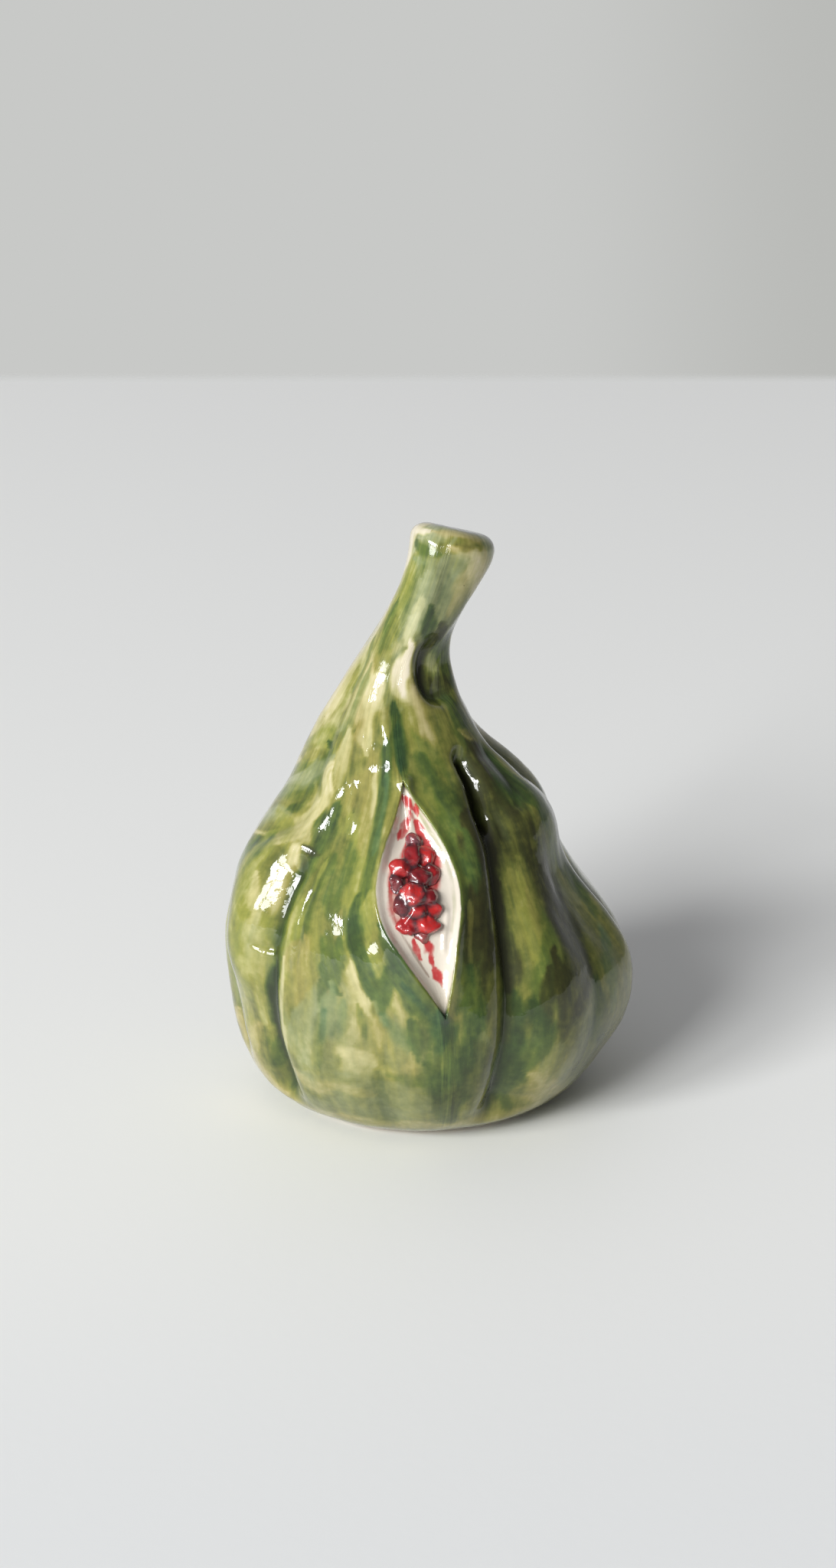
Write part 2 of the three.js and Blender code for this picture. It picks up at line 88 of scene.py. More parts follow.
# Folds pressed into the clay, and ridges with a depth below zero: depth, width to the left and to the right,
# the lengths over which it starts and runs out, then its course from the top down as heights and angles. The
# first two make the deep fold to the right of the slit, and the third is the left lobe's.
FOLDS = [
    (2.6, 0.8, 1.0, 2.5, 5.0, [(49.4, 47.5), (47.5, 46), (44.5, 43), (41.5, 40.8), (38.5, 39.3)]),
    (2.6, 1.5, 3.6, 6.0, 4.0,
     [(46, 44.8), (43, 42), (40, 40), (36, 37.8), (33, 35.6), (28, 31.6), (23, 27.6), (18, 24.6), (12, 22.6),
      (7, 22), (2.5, 21.6)]),
    (1.8, 3.0, 1.5, 4.5, 3.0,
     [(38, -43), (34.2, -45), (28.3, -47.6), (24.9, -49.3), (20.8, -50.3), (15.3, -52), (9, -52.5),
      (3, -51.5)]),
    (0.45, 0.7, 0.6, 3.0, 5.0,
     [(35.5, -34.6), (33.3, -36.2), (31.1, -37.7), (28.3, -38.4), (24.7, -39.8), (20, -41)]),
    (0.09, 0.35, 0.35, 1.5, 3.0, [(45.4, -32.2), (44.4, -33.8), (43.2, -36), (41, -38.5)]),
    (0.12, 0.35, 0.35, 1.5, 2.5,
     [(45.9, -30), (45.2, -26.4), (43.6, -23.8), (41.9, -23), (40.5, -23.8), (38.9, -27)]),
    (0.15, 1.0, 2.0, 4.0, 2.0, [(43, -36), (41, -39), (38.5, -42), (36.8, -45)]),
    (0.6, 0.4, 0.7, 2.0, 1.5, [(25.6, -58), (25.2, -53), (25, -48)]),
    (0.7, 1.8, 1.4, 4.0, 5.0, [(42.4, -55), (40.2, -56), (38, -62), (36, -70), (34.8, -80)]),
    (0.6, 1.6, 1.0, 3.0, 2.0, [(49, 74), (46.5, 70.5), (44, 67), (42, 63.5), (40.6, 60)]),
    (0.5, 2.6, 2.2, 5.0, 6.0, [(41.5, 68), (37.5, 68), (32, 66.5), (27, 63), (20, 58), (12, 54), (4, 52)]),
    (0.6, 2.0, 2.2, 5.0, 6.0, [(46, 84), (42, 83), (38, 82.5), (31, 81), (25, 78)]),
    (0.4, 0.5, 0.9, 2.0, 2.0, [(44, 51), (42, 49.7), (40, 48.5), (38, 47)]),
    (0.4, 1.0, 1.8, 3.0, 5.0, [(72, 6), (69, 9), (66, 11), (63, 14), (60, 17), (57, 21)]),
    (1.4, 0.8, 1.8, 5.0, 3.0,
     [(63.5, 23), (60.5, 26), (58, 29), (56.2, 35), (55.2, 42), (54.9, 53), (55.3, 64), (56, 74)]),
    (0.6, 1.8, 1.2, 5.0, 6.0, [(60, -66), (54, -60), (48, -56), (42, -53), (37, -51)]),
    (-0.8, 1.6, 1.1, 3.0, 5.0, [(54.2, -15), (52.8, -11.5), (50.4, -6.5), (48, -5.5), (46.5, -6.5)]),
    (-0.7, 1.8, 1.0, 3.0, 8.0, [(50, -6.2), (47.5, -5.8), (44, -9), (40, -12.5), (35, -14.5)]),
    (0.45, 1.2, 1.0, 2.0, 4.0, [(21.5, 5.2), (17.5, 6.5), (14, 7)]),
    (0.5, 1.8, 1.4, 5.0, 4.0, [(17, -14), (12, -14.5), (7, -15), (2.5, -15)]),
    (1.3, 1.8, 1.6, 6.0, 6.0, [(52, 100), (42, 95), (32, 93), (20, 90), (6, 88)]),
    (1.7, 1.4, 2.2, 6.0, 5.0, [(46, 125), (36, 122), (27, 121), (14, 117), (3, 115)]),
    (1.2, 1.6, 1.4, 6.0, 6.0, [(58, 152), (47, 148), (38, 146), (28, 147)]),
    (1.1, 1.8, 1.4, 6.0, 5.0, [(36, 164), (26, 160), (17, 158), (4, 157)]),
    (1.9, 2.0, 1.2, 6.0, 6.0, [(54, -172), (43, -173), (33, -170), (22, -168), (5, -169)]),
    (1.1, 1.4, 1.4, 6.0, 6.0, [(50, -141), (41, -142), (33, -145), (24, -144)]),
    (1.4, 1.4, 2.0, 6.0, 4.0, [(33, -128), (23, -127), (13, -126), (3, -124)]),
    (1.3, 2.0, 1.4, 6.0, 6.0, [(51, -111), (42, -108), (35, -106), (27, -103), (18, -101), (5, -99)]),
    (1.0, 1.6, 1.6, 6.0, 5.0, [(32, -82), (23, -78), (14, -76), (5, -75)]),
]
# Hollows, and swellings with a depth below zero: height, angle, half width, half length, depth.
HOLLOWS = [
    (59.5, 50, 3.2, 4.6, 0.8),
    (8.0, -50, 2.6, 5.0, 0.7),
    (32.5, -62.5, 5.0, 12.0, -1.8),
    (23.5, -60, 4.5, 6.5, -1.2),
    (27, 74, 3.0, 8.0, 0.6),
    (40, 80, 6.0, 5.0, -0.6),
    (26.8, -14, 2.4, 3.6, -0.7),
    (27, 42, 4.5, 10.0, -0.8),
    (30, -2, 7.0, 10.0, -2.0),
]
DEEP_FOLD_TOP, DEEP_FOLD, LEFT_FOLD = (fold[-1] for fold in FOLDS[:3])
FOLD_REACH = 8  # in fold widths, past which a fold isn't felt
FOLD_ROUNDNESS = 0.35  # of a fold's bottom, in fold widths
FOLD_CHANGE = 0.3  # distance from a fold's bottom within which its left width turns into its right one
RIDGE_SHARE = 0.08  # of a fold's depth, raised as a soft ridge beside it
RIDGE_PLACE = 2.2  # in fold widths from the fold's bottom
FOLD_SHADE_WIDTH = 0.9  # millimetres to each side of a fold's bottom that get painted shade
DARKEST_FOLD_SHADE_DEPTH = 2  # depth in millimetres at which a fold's painted shade is darkest
SWELLING_POWER = 1.3  # above 1, a flatter middle and a steeper edge
RELIEF_FROM, RELIEF_TO = 3.3, 23.2  # the levels between which folds and ribs lie
RELIEF_FADE = 1.2

# Broad ribs: rise, how many go round the fig, where they start in radians, and their twist a millimetre up.
RIBS = [(0.26, 9, 0.7, 0.03), (0.16, 5, -1.1, 0.05), (0.13, 13, 2.0, -0.04)]
RIB_HEIGHTS = (2, 12, 34, 50)  # where they start, are full, begin to fade and are gone
HAND_DENTS = 0.18  # how far the clay is out of true between them
DENTS_BEGIN = (1, 8)  # heights between which the dents come in

# The slit's edges from its top tip to its bottom tip, as heights and angles.
SLIT_LEFT = [
    (45.9, 1.2), (42.5, -4), (39, -8.8), (35, -11.2), (31, -9.2), (27, -3.6), (23, 2.2), (20.3, 5.5),
]
SLIT_RIGHT = [
    (45.9, 1.2), (43.8, 7), (40.5, 14.6), (36.5, 19), (32.6, 18), (28, 12.8), (24, 8.9), (20.3, 5.5),
]
SLIT_DEPTH = 1.4
SLIT_FULL_WIDTH = 5.5  # width at which the slit reaches its full depth
SLIT_WALL_POWER = 2.6  # rounded walls and a flat floor
SLIT_RIM = 0.8  # share of the half width past which the clay's own unevenness goes on
LIPS = [(SLIT_LEFT, 0.6, 1.3), (SLIT_RIGHT, 0.35, 0.7)]  # edge, rise and width of each raised lip
LIP_THINNING = 1.5  # how thin the underglaze is on a lip, for each millimetre of its rise
LIP_REACH = 4  # in widths of a lip or of a thread of glaze, past which it isn't felt
# Threads of glaze that ran down over the slit's floor: height, width and course.
GLAZE_RUNS = [
    (0.45, 0.55, [(46.8, 5.4), (45.2, 3.9), (43.6, 3.2), (42, 2.8), (40.8, 2.8)]),
    (0.2, 0.3, [(33.4, 12.6), (31.4, 12.2), (29.4, 10), (27.2, 8.6)]),
]

# Seeds, pressed on side by side: height, angle, half width, half height, rise above the slit's floor.
SEEDS = [
    (40.1, 3.0, 1.05, 1.1, 1.1), (38.2, 2.3, 1.15, 1.7, 1.4), (38.4, 8.0, 1.4, 1.5, 0.8),
    (36.9, -2.8, 1.35, 1.4, 1.2), (35.2, -4.2, 0.95, 1.3, 0.8), (36.2, 9.4, 1.1, 1.5, 0.9),
    (36.0, 4.6, 1.5, 1.4, 1.5), (33.9, 1.2, 1.75, 1.75, 1.9), (33.7, 6.6, 1.4, 1.3, 1.5),
    (32.9, -2.4, 1.1, 1.5, 1.1), (32.2, 2.6, 1.4, 1.2, 1.5), (32.4, 7.6, 1.2, 1.1, 1.1),
    (30.7, -1.2, 1.5, 1.2, 0.9), (30.8, 4.2, 1.9, 1.3, 1.3), (29.5, 3.4, 1.0, 0.9, 0.6),
]
# How bright each seed is painted, from purple to bright red and, at 1, a washed purple-grey.
SEED_TONES = [1.0, 0.35, 0.75, 0.6, 0.1, 0.45, 0.2, 0.8, 0.3, 0.1, 0.7, 0.75, 0.55, 0.75, 0.3]
SEED_ROOT = 0.4  # how far a seed is sunk into the floor

# How finely the body is divided. Columns crowd together at the front and keep to its main edges and folds.
COLUMNS = 350
ROWS = 280
FRONT_CROWDING = 0.42
LEFT_FOLD_HOME = -48  # degrees; the column that is moved to this fold on every row
SLIT_HOMES = (-9, 15)
DEEP_FOLD_HOME = 33
RIGHT_HOME = 75  # from here round to the back, the columns stay where they are
NARROWEST_SLIT = 5  # degrees that the slit's columns always share
ROW_CROWDING = 1.4  # rows beside the slit, against rows elsewhere
BESIDE_SLIT = (16, 20, 47, 51)  # heights at which the crowding starts, is full, begins to fade and is gone
FLOW_RADIUS = 24.0  # of the cylinder on which the brush marks are laid out
BARE_FOOT = (0.35, 0.9)  # heights between which the foot's bare clay gives way to paint
UNEVENNESS = [(0.10, 4.5), (0.035, 1.6)]  # swell of the hand-pressed clay: height and size in millimetres

# Underglaze colours as strengths: green, then how far it goes to blue-green, to brown and to milky sage.
PIGMENTS = {
    "cream": (0.02, 0.0, 0.1, 0.1),
    "butter": (0.17, 0.0, 0.35, 0.1),
    "tan": (0.28, 0.0, 0.7, 0.0),
    "ochre": (0.42, 0.0, 0.55, 0.0),
    "pale lime": (0.32, 0.0, 0.1, 0.1),
    "lime": (0.43, 0.0, 0.0, 0.0),
    "olive": (0.55, 0.0, 0.35, 0.0),
    "leaf": (0.63, 0.1, 0.0, 0.0),
    "moss": (0.8, 0.2, 0.0, 0.0),
    "bottle": (0.84, 0.75, 0.0, 0.0),
    "teal": (0.58, 0.9, 0.0, 0.1),
    "mint": (0.44, 0.6, 0.0, 0.3),
    "sage": (0.36, 0.15, 0.0, 0.75),
    "stone": (0.5, 0.05, 0.35, 0.6),
    "umber": (0.86, 0.0, 0.7, 0.0),
}
WASH = "olive"  # laid over the whole fig before the strokes

# Brush strokes in the order they were painted: pigment, width in millimetres, strength, course. Some, as
# marked, also paint shade, a highlight or a reflection into the colour.
STROKES = [
    # the neck and the stem
    ("sage", 12, 0.8, [(74, -40), (66, -30), (58, -40), (52, -60)]),
    ("sage", 10, 0.7, [(74, 60), (66, 50), (60, 60)]),
    ("butter", 9, 0.9, [(74.2, -80), (66, -82), (60, -80), (55, -74), (50, -70)]),
    ("cream", 5, 0.9, [(74, -72), (68, -74), (62, -76)]),
    ("pale lime", 6, 0.6, [(60, -58), (54, -54), (50, -60)]),
    ("leaf", 1.3, 0.6, [(60, -62), (55, -56), (51, -53)]),
    ("olive", 1, 0.5, [(57, -68), (53, -66), (50, -68)]),
    ("tan", 5, 0.8, [(58, -38), (53, -34), (48.5, -30)]),
    ("butter", 2.6, 0.85, [(57.5, -27), (53, -24), (49, -21)]),
    ("teal", 1.6, 0.55, [(57.5, -46), (53, -43), (49.5, -42)]),
    ("olive", 3.2, 0.7, [(63, -52), (60, -42), (57.5, -36)]),
    ("lime", 4.2, 0.85, [(69.6, -36), (66, -38), (62, -40)]),
    ("olive", 2.4, 0.8, [(63, -30), (60, -24), (57, -20)]),
    ("moss", 1.2, 0.5, [(65, -46), (62, -44), (59, -36)]),
    ("leaf", 3.6, 0.45, [(70, -28), (65, -30), (60, -28)]),
    ("sage", 3, 0.85, [(69, -8), (65.5, -11), (61.5, -8)]),
    ("cream", 1.8, 0.5, [(66.4, -11), (63.6, -7), (61, -5)]),
    # Painted shade: the next three strokes darken the stem's right side from the knob down.
    ("stone", 5, 0.8, [(70.5, 12), (66.4, 8), (63, 18)]),
    ("stone", 6, 0.8, [(70, 34), (66, 34), (62, 34)]),
    ("moss", 2.4, 0.8, [(66, 3), (63.6, 12), (61.4, 22)]),
    ("tan", 4, 0.6, [(71.4, 34), (68.6, 32), (66, 34)]),
    # Painted shade: the next two strokes darken the neck under the stem on its right.
    ("umber", 8, 0.75, [(62.5, 28), (59.4, 34), (57, 46)]),
    ("moss", 5, 0.75, [(64, 62), (60, 64), (57, 70)]),
    ("leaf", 2.6, 0.9, [(72.1, -48), (71.6, -30), (71.8, -10)]),
    ("mint", 0.9, 0.85, [(70.3, -46), (70.2, -30), (70.4, -14)]),
    ("olive", 2.4, 0.85, [(72.4, -8), (72.2, 2)]),
    ("tan", 2.8, 0.85, [(72.8, 4), (72.8, 24), (72.2, 40)]),
    ("umber", 1.4, 0.4, [(73.2, 12), (73.2, 30)]),
    ("butter", 4.4, 0.85, [(72.4, 34), (71, 44), (69, 50)]),
    ("tan", 3, 0.7, [(73, 50), (70, 64), (67, 70)]),
    ("olive", 1.6, 0.5, [(72.4, 60), (70, 72)]),
    ("cream", 1.3, 0.9, [(73.6, -80), (74, -50), (74.1, -24)]),
    ("tan", 1.6, 0.85, [(74.1, -24), (74.2, 10), (73.9, 50)]),
    ("cream", 3.8, 0.97, [(60.6, -4), (58, -2), (55.6, 4)]),
    ("cream", 3.4, 0.95, [(59.8, 5), (57, 9), (54.6, 13), (53.2, 15)]),
    ("butter", 1.4, 0.85, [(55, 13), (52.6, 19), (50.2, 24)]),
    ("ochre", 4.6, 0.85, [(56.4, 20), (53.4, 24), (50, 28)]),
    ("olive", 5.5, 0.8, [(55, 40), (51, 41), (47.5, 46)]),
    ("moss", 4, 0.6, [(54.5, 62), (50.5, 64), (47, 66)]),
    # Painted shade in the hollow beside the neck, under the stem.
    ("umber", 5, 0.8, [(59, 33), (57.2, 45), (56.4, 66)]),
    ("tan", 2.2, 0.8, [(56, 18), (52.5, 22), (48.5, 26)]),
    ("olive", 5, 0.85, [(53, 8), (50, 11), (47, 15)]),
    ("leaf", 3, 0.7, [(51, 16), (49, 22), (46.5, 27)]),
    ("moss", 2.2, 0.95, [(54, -3), (52, 2), (49.4, 3), (46.8, 2)]),
    # A painted highlight: the lower end of the window's reflection on the neck's ridge.
    ("butter", 1.6, 0.4, [(54, -12), (52, -9), (50, -7.4)]),
    ("bottle", 1.4, 0.7, [(52, 1), (49.6, 2), (47, 1)]),
    # the left shoulder
    ("butter", 14, 0.9, [(56, -84), (50, -84), (46, -92)]),
    ("lime", 8, 0.8, [(47, -92), (42, -92), (38, -92)]),
    ("lime", 5.5, 0.9, [(48, -80), (48.6, -66), (48, -52)]),
    ("olive", 3.4, 0.7, [(46, -82), (46.4, -72), (47.4, -62)]),
    ("olive", 3.6, 0.75, [(50.5, -34), (48.5, -32), (46.6, -31)]),
    ("butter", 2.6, 0.6, [(50.5, -43), (47.5, -42), (45, -40.5)]),
    ("leaf", 3.6, 0.75, [(43.5, -86), (44.6, -74), (46, -62), (48, -54)]),
    ("moss", 0.9, 0.8, [(49.1, -60), (48.6, -54)]),
    ("sage", 3.4, 0.85, [(41, -92), (43, -74), (45, -60), (47.5, -48)]),
    ("leaf", 2.2, 0.55, [(40.8, -84), (42, -70), (43.6, -58), (46, -51)]),
    ("moss", 1.3, 0.6, [(40.4, -64), (41.2, -59), (42.4, -55)]),
    ("sage", 3.2, 0.8, [(37.4, -94), (38.8, -76), (39.8, -63)]),
    ("butter", 5.4, 0.85, [(46, -45), (42, -47), (39, -54), (37, -62)]),
    ("ochre", 1.8, 0.5, [(43.5, -39), (40.5, -43), (38, -47)]),
    ("lime", 2.4, 0.6, [(40, -70), (38.6, -60), (37, -51)]),
    ("butter", 1, 0.8, [(36, -84), (36.4, -74), (37.4, -64)]),
    # the left lobe
    ("lime", 11, 0.9, [(36, -62), (28, -60), (19, -60)]),
    ("pale lime", 6, 0.7, [(34, -86), (26, -86), (18, -82)]),
    ("sage", 7, 0.6, [(26, -80), (20, -76), (12, -74)]),
    ("pale lime", 5, 0.6, [(20, -68), (14, -66), (9, -66)]),
    ("butter", 3.6, 0.85, [(37.2, -49), (34, -50), (30, -51)]),
    ("ochre", 2.4, 0.7, [(35, -47), (30, -47.5), (26, -47)]),
    ("leaf", 4, 0.9, [(35.6, -74), (33, -77), (29.5, -76)]),
    ("leaf", 2.4, 0.6, [(37, -64), (35, -65), (33, -66)]),
    ("olive", 3.6, 0.4, [(31, -72), (27.5, -68), (24, -64)]),
    ("lime", 2.6, 0.5, [(26, -64), (23, -60), (21, -56)]),
    ("butter", 2.4, 0.5, [(33, -60), (30, -55), (28, -54)]),
    ("pale lime", 6, 0.75, [(27, -54), (21, -55), (14.5, -57)]),
    ("moss", 1, 0.5, [(16.8, -71), (15, -73.5), (13.5, -76)]),
    ("tan", 8, 0.8, [(11, -78), (8, -72), (5.5, -66)]),
    ("tan", 4, 0.5, [(12.6, -60), (10, -65), (7, -69)]),
    ("moss", 2.6, 0.85, [(24, -47.3), (20, -50), (16, -51.3), (13, -52)]),
    ("lime", 1.8, 0.85, [(21.5, -46), (17, -45.2), (13, -44.6)]),
    ("moss", 5, 0.7, [(12.5, -51.5), (9.6, -55), (7.6, -57.5)]),
    ("stone", 3.2, 0.6, [(10, -46.5), (7, -46), (4.6, -47)]),
    ("moss", 2.6, 0.6, [(9.4, -48.6), (6.5, -50), (4.6, -52)]),
    ("teal", 2.8, 0.9, [(12.9, -47.4), (11.2, -46.4)]),
    ("tan", 4, 0.8, [(4.6, -84), (4.2, -70), (3.8, -58)]),
    # between the left crease and the slit
    ("lime", 9, 0.75, [(44, -22), (36, -20), (30, -22)]),
    ("leaf", 3.6, 0.85, [(37, -41), (32, -44), (27, -46), (23, -47)]),
    ("olive", 6, 0.75, [(39, -28), (35, -27), (30, -29), (26, -33)]),
    ("leaf", 2.8, 0.8, [(37.4, -32), (34.4, -33), (31, -35), (28, -37)]),
    ("lime", 1, 0.85, [(37, -34.2), (33, -36.6), (29, -38.6), (25.5, -40.4)]),
    ("olive", 3.6, 0.8, [(35, -28), (31, -30), (27, -31.8), (23.5, -34)]),
    ("lime", 3.4, 0.8, [(32, -40), (28, -41), (23, -42.5)]),
    ("olive", 4.6, 0.8, [(46, -31), (43.6, -33), (41.5, -34)]),
    ("moss", 4.6, 0.85, [(42.6, -35.5), (40, -38), (37.9, -41)]),
    ("umber", 1.1, 0.8, [(37.8, -45.5), (37.4, -42), (37.3, -38)]),
    ("ochre", 2.2, 0.7, [(44.4, -31.5), (43.2, -29.5), (42, -30.5)]),
    ("umber", 0.9, 0.6, [(46, -28.5), (44.6, -26), (42.6, -26)]),
    ("ochre", 5.2, 0.7, [(48, -21), (44, -21), (40, -21.5)]),
    ("ochre", 3, 0.5, [(45, -18), (41, -16.5), (37, -17)]),
    ("leaf", 4.6, 0.75, [(39, -24), (36, -24), (33, -25), (29.5, -24)]),
    ("lime", 5, 0.7, [(37, -17), (33.5, -19.5), (30, -22)]),
    ("butter", 2.2, 0.7, [(47, -13.5), (43, -13), (39, -13.4)]),
    ("moss", 1.9, 0.8, [(50, -6.5), (45, -8.6), (40, -11.6), (36, -14), (33, -15.5)]),
    ("teal", 0.9, 0.6, [(47, -7.6), (43, -10), (38, -13.2)]),
    ("ochre", 1.1, 0.6, [(32, -23.6), (29.5, -24.6), (27.4, -25)]),
    ("moss", 2.8, 0.9, [(33.4, -16.6), (31, -17.8), (28, -18), (25.6, -17.6)]),
    ("lime", 2.4, 0.8, [(34, -12.8), (31.5, -13.6), (29, -13)]),
    # the lower front
    ("ochre", 8, 0.7, [(25, -37), (20, -37), (15, -37)]),
    ("butter", 12, 0.5, [(24, -22), (17, -22), (11, -22)]),
    ("tan", 9, 0.4, [(22, -8), (16, -6), (10, -6)]),
    ("stone", 14, 0.5, [(22, -26), (14, -26), (8, -26)]),
    ("stone", 12, 0.5, [(20, -4), (14, -2), (8, -2)]),
    ("ochre", 4.5, 0.75, [(27.5, -36.5), (23, -37), (19.5, -37.5)]),
    ("olive", 1.2, 0.5, [(27, -33), (23, -33.5), (20, -34)]),
    ("butter", 0.8, 0.8, [(25, -44), (18, -46), (12, -46)]),
    ("sage", 7, 0.55, [(21, -34), (15, -36), (9.5, -36)]),
    ("leaf", 4.2, 0.85, [(28.4, -28.5), (25.6, -28), (23, -28)]),
    ("leaf", 3, 0.8, [(28.4, -22.5), (26, -23), (24, -24)]),
    ("moss", 1.6, 0.7, [(25.5, -29), (23.4, -27.4), (22.2, -24.5)]),
    ("moss", 1.2, 0.6, [(23.6, -30.5), (21, -30.8), (19.5, -31)]),
    ("mint", 4.2, 0.6, [(23, -27.5), (20, -27), (17.4, -27.5)]),
    ("teal", 1.6, 0.6, [(21.4, -23.6), (17.6, -24.8), (13.6, -26)]),
    ("leaf", 1.6, 0.5, [(19, -31.5), (15, -33), (11, -32.8)]),
    ("teal", 1.2, 0.6, [(20, -30), (17, -30.6), (15, -31)]),
    ("butter", 2, 0.8, [(26.4, -19.6), (23.3, -18), (20, -16.6)]),
    ("mint", 2.2, 0.8, [(24.4, -15.2), (21.6, -13.2), (19, -11.6)]),
    ("leaf", 1.2, 0.6, [(21, -19.6), (18.4, -18.6), (16.4, -18)]),
    ("butter", 3.4, 0.4, [(18.4, -22.4), (15.4, -23.4), (13, -22.4)]),
    ("butter", 5, 0.5, [(14.4, -25), (13.2, -19.8), (12, -14)]),
    ("moss", 3, 0.9, [(29.4, -16.4), (26, -16), (22.6, -15)]),
    ("lime", 2.6, 0.7, [(28.2, -12.6), (25.5, -9.4), (21.9, -6.4), (18.2, -3.4)]),
    ("tan", 1.6, 0.6, [(24, -8.6), (20, -5.6), (16.4, -2.6)]),
    ("moss", 3.2, 0.9, [(30, -9.6), (26.6, -6), (23, -1.6), (19.4, 3.6)]),
    ("leaf", 1.4, 0.7, [(25, -6.4), (21.6, -2.4), (18.4, 1)]),
    ("bottle", 1.2, 0.6, [(24.5, -4.5), (21.6, 0), (19.6, 3)]),
    ("moss", 2.4, 0.7, [(26, -8.4), (23.2, -9.8), (20.6, -12)]),
    ("teal", 3.4, 0.5, [(19.6, -12), (17.6, -8), (15.6, -4)]),
    ("olive", 4, 0.5, [(17, -1), (13, -1), (9, -2)]),
    ("leaf", 4, 0.6, [(18, 4), (13.5, 3), (9, 2)]),
    ("moss", 3.4, 0.6, [(19.6, -3.4), (17, -3), (14.6, -3.4)]),
    ("tan", 2.2, 0.5, [(15, -5.4), (13, -5.4), (11, -5.8)]),
    ("moss", 4, 0.5, [(13.5, -1), (11, 2), (8.5, 4)]),
    # Partly a painted reflection: this stone band and the one three lines below lay the milky grey of the
    # table, mirrored in the lower belly.
    ("stone", 9, 0.6, [(8, -42), (7.6, -26), (7.6, -10), (7, 4)]),
    ("olive", 3, 0.5, [(11, -38), (10.4, -30), (10.6, -22)]),
    ("leaf", 2.6, 0.5, [(11.6, -12), (10.8, -6), (10.8, 0)]),
    ("stone", 6, 0.6, [(5.6, -46), (5.4, -24), (5.4, 0), (5.4, 12)]),
    ("tan", 2.6, 0.5, [(9.6, -44), (8.6, -36), (9.2, -28), (8.4, -18)]),
    # round the slit's right side, down to the deep fold
    ("moss", 4.8, 0.8, [(48.4, 16), (44.6, 22), (41, 25), (37, 26)]),
    ("leaf", 4.2, 0.85, [(46.4, 7), (42.6, 15), (38.6, 20.6), (34, 22), (30, 18.4), (26, 13.6), (21, 9.4)]),
    ("olive", 3, 0.6, [(48.6, 9), (46, 13), (43.4, 17)]),
    # Partly painted shade: the next two umber strokes darken the strip between the slit and the deep fold
    # towards the fold.
    ("umber", 5.2, 0.85, [(42, 30), (36, 29), (30, 24), (24, 19.4)]),
    ("umber", 4, 0.7, [(34, 24.4), (29, 20.4), (24, 17), (18, 15)]),
    ("moss", 2.6, 0.8, [(40.4, 26), (37, 27), (34, 26)]),
    ("tan", 1, 0.4, [(33, 21.6), (28, 17.6), (22, 15)]),
    ("moss", 4.4, 0.75, [(25.6, 15.4), (21.4, 13.6), (16.6, 12.2)]),
    ("lime", 1.2, 0.7, [(25, 10), (22.6, 8.6), (20.8, 7.2)]),
    ("bottle", 3.4, 0.75, [(20.8, 5), (18.6, 4.6), (16, 3)]),
    ("tan", 2, 0.6, [(18.4, 9.8), (15.4, 9.8), (13, 8.8)]),
    ("moss", 5, 0.6, [(20, 14), (14, 12), (9, 10)]),
    ("stone", 3.4, 0.5, [(17, 16.4), (12.6, 15.6), (7.6, 14)]),
    ("moss", 9, 0.5, [(18, 9), (12, 9), (6, 9)]),
    ("umber", 8, 0.3, [(14, 12), (9, 11), (5, 11)]),
    ("mint", 0.8, 0.75, [(15, 22), (11, 20.6), (6.6, 20)]),
    # the right lobes
    ("lime", 1.6, 0.6, [(44, 50), (42, 49), (39.6, 48)]),
    ("olive", 6, 0.75, [(44, 48), (40, 44), (36.4, 42)]),
    ("umber", 5, 0.75, [(47.5, 47), (44, 44), (40, 41), (35, 40)]),
    ("umber", 8, 0.85, [(48, 57), (42, 56), (37.4, 54), (32, 56)]),
    ("ochre", 2.2, 0.6, [(50.6, 57), (49.8, 62), (48.6, 67)]),
    ("tan", 1.4, 0.55, [(50, 59), (49.2, 65)]),
    ("moss", 6, 0.9, [(47, 68), (42.6, 72), (39, 70)]),
    # Painted shade along the deep fold's bottom.
    ("umber", 3.6, 0.8, [(36, 38.4), (31, 34.6), (26, 30.6), (22.4, 28)]),
    ("leaf", 5, 0.8, [(31, 49), (27, 44.6), (23, 39.6), (18.6, 35.6)]),
    ("umber", 7, 0.8, [(36, 62), (30, 60), (24, 53), (18, 48)]),
    ("moss", 2.2, 0.8, [(22, 29.6), (17, 27.4), (12, 25.6)]),
    ("olive", 6, 0.6, [(35.4, 49), (31, 47.6), (27, 42.6)]),
    ("lime", 3.6, 0.85, [(34, 46.6), (31.4, 44.4), (28.4, 41), (25.4, 38)]),
    ("ochre", 1.4, 0.5, [(32.6, 48), (29.4, 45.6), (27.4, 43)]),
    ("umber", 2, 0.7, [(24, 40.6), (20, 37.4), (16, 36)]),
    ("stone", 5, 0.5, [(16, 35), (12, 36), (8, 38)]),
    ("moss", 5, 0.75, [(16, 27), (10, 26), (4, 28)]),
    ("umber", 4.4, 0.8, [(25, 46), (20.4, 43), (15, 42)]),
    ("moss", 5, 0.85, [(20, 34), (15, 32.6), (10, 31)]),
    ("umber", 4, 0.7, [(30.6, 59), (27.6, 57.6), (24, 55)]),
    ("leaf", 4, 0.6, [(14, 23), (9.6, 22)]),
    ("moss", 8, 0.75, [(42, 84), (34, 80), (27, 76)]),
    ("stone", 3.6, 0.6, [(37, 65), (32, 69), (28, 75)]),
    ("moss", 5, 0.5, [(33, 90), (26, 86), (20, 84)]),
    ("teal", 4.6, 0.5, [(24.6, 74), (20, 69), (15, 65)]),
    ("stone", 8, 0.55, [(16, 52), (12, 50), (8, 46)]),
    ("moss", 6, 0.5, [(20, 58), (15, 56), (11, 60)]),
    ("stone", 8, 0.6, [(20, 84), (13, 78)]),
    ("tan", 6, 0.5, [(9, 33), (6.6, 40), (5.2, 48)]),
    ("olive", 6, 0.5, [(8, 60), (6, 74)]),
    ("tan", 3, 0.45, [(3.2, -60), (3.2, -30), (3.2, 0), (3.2, 30), (3.4, 60)]),
]

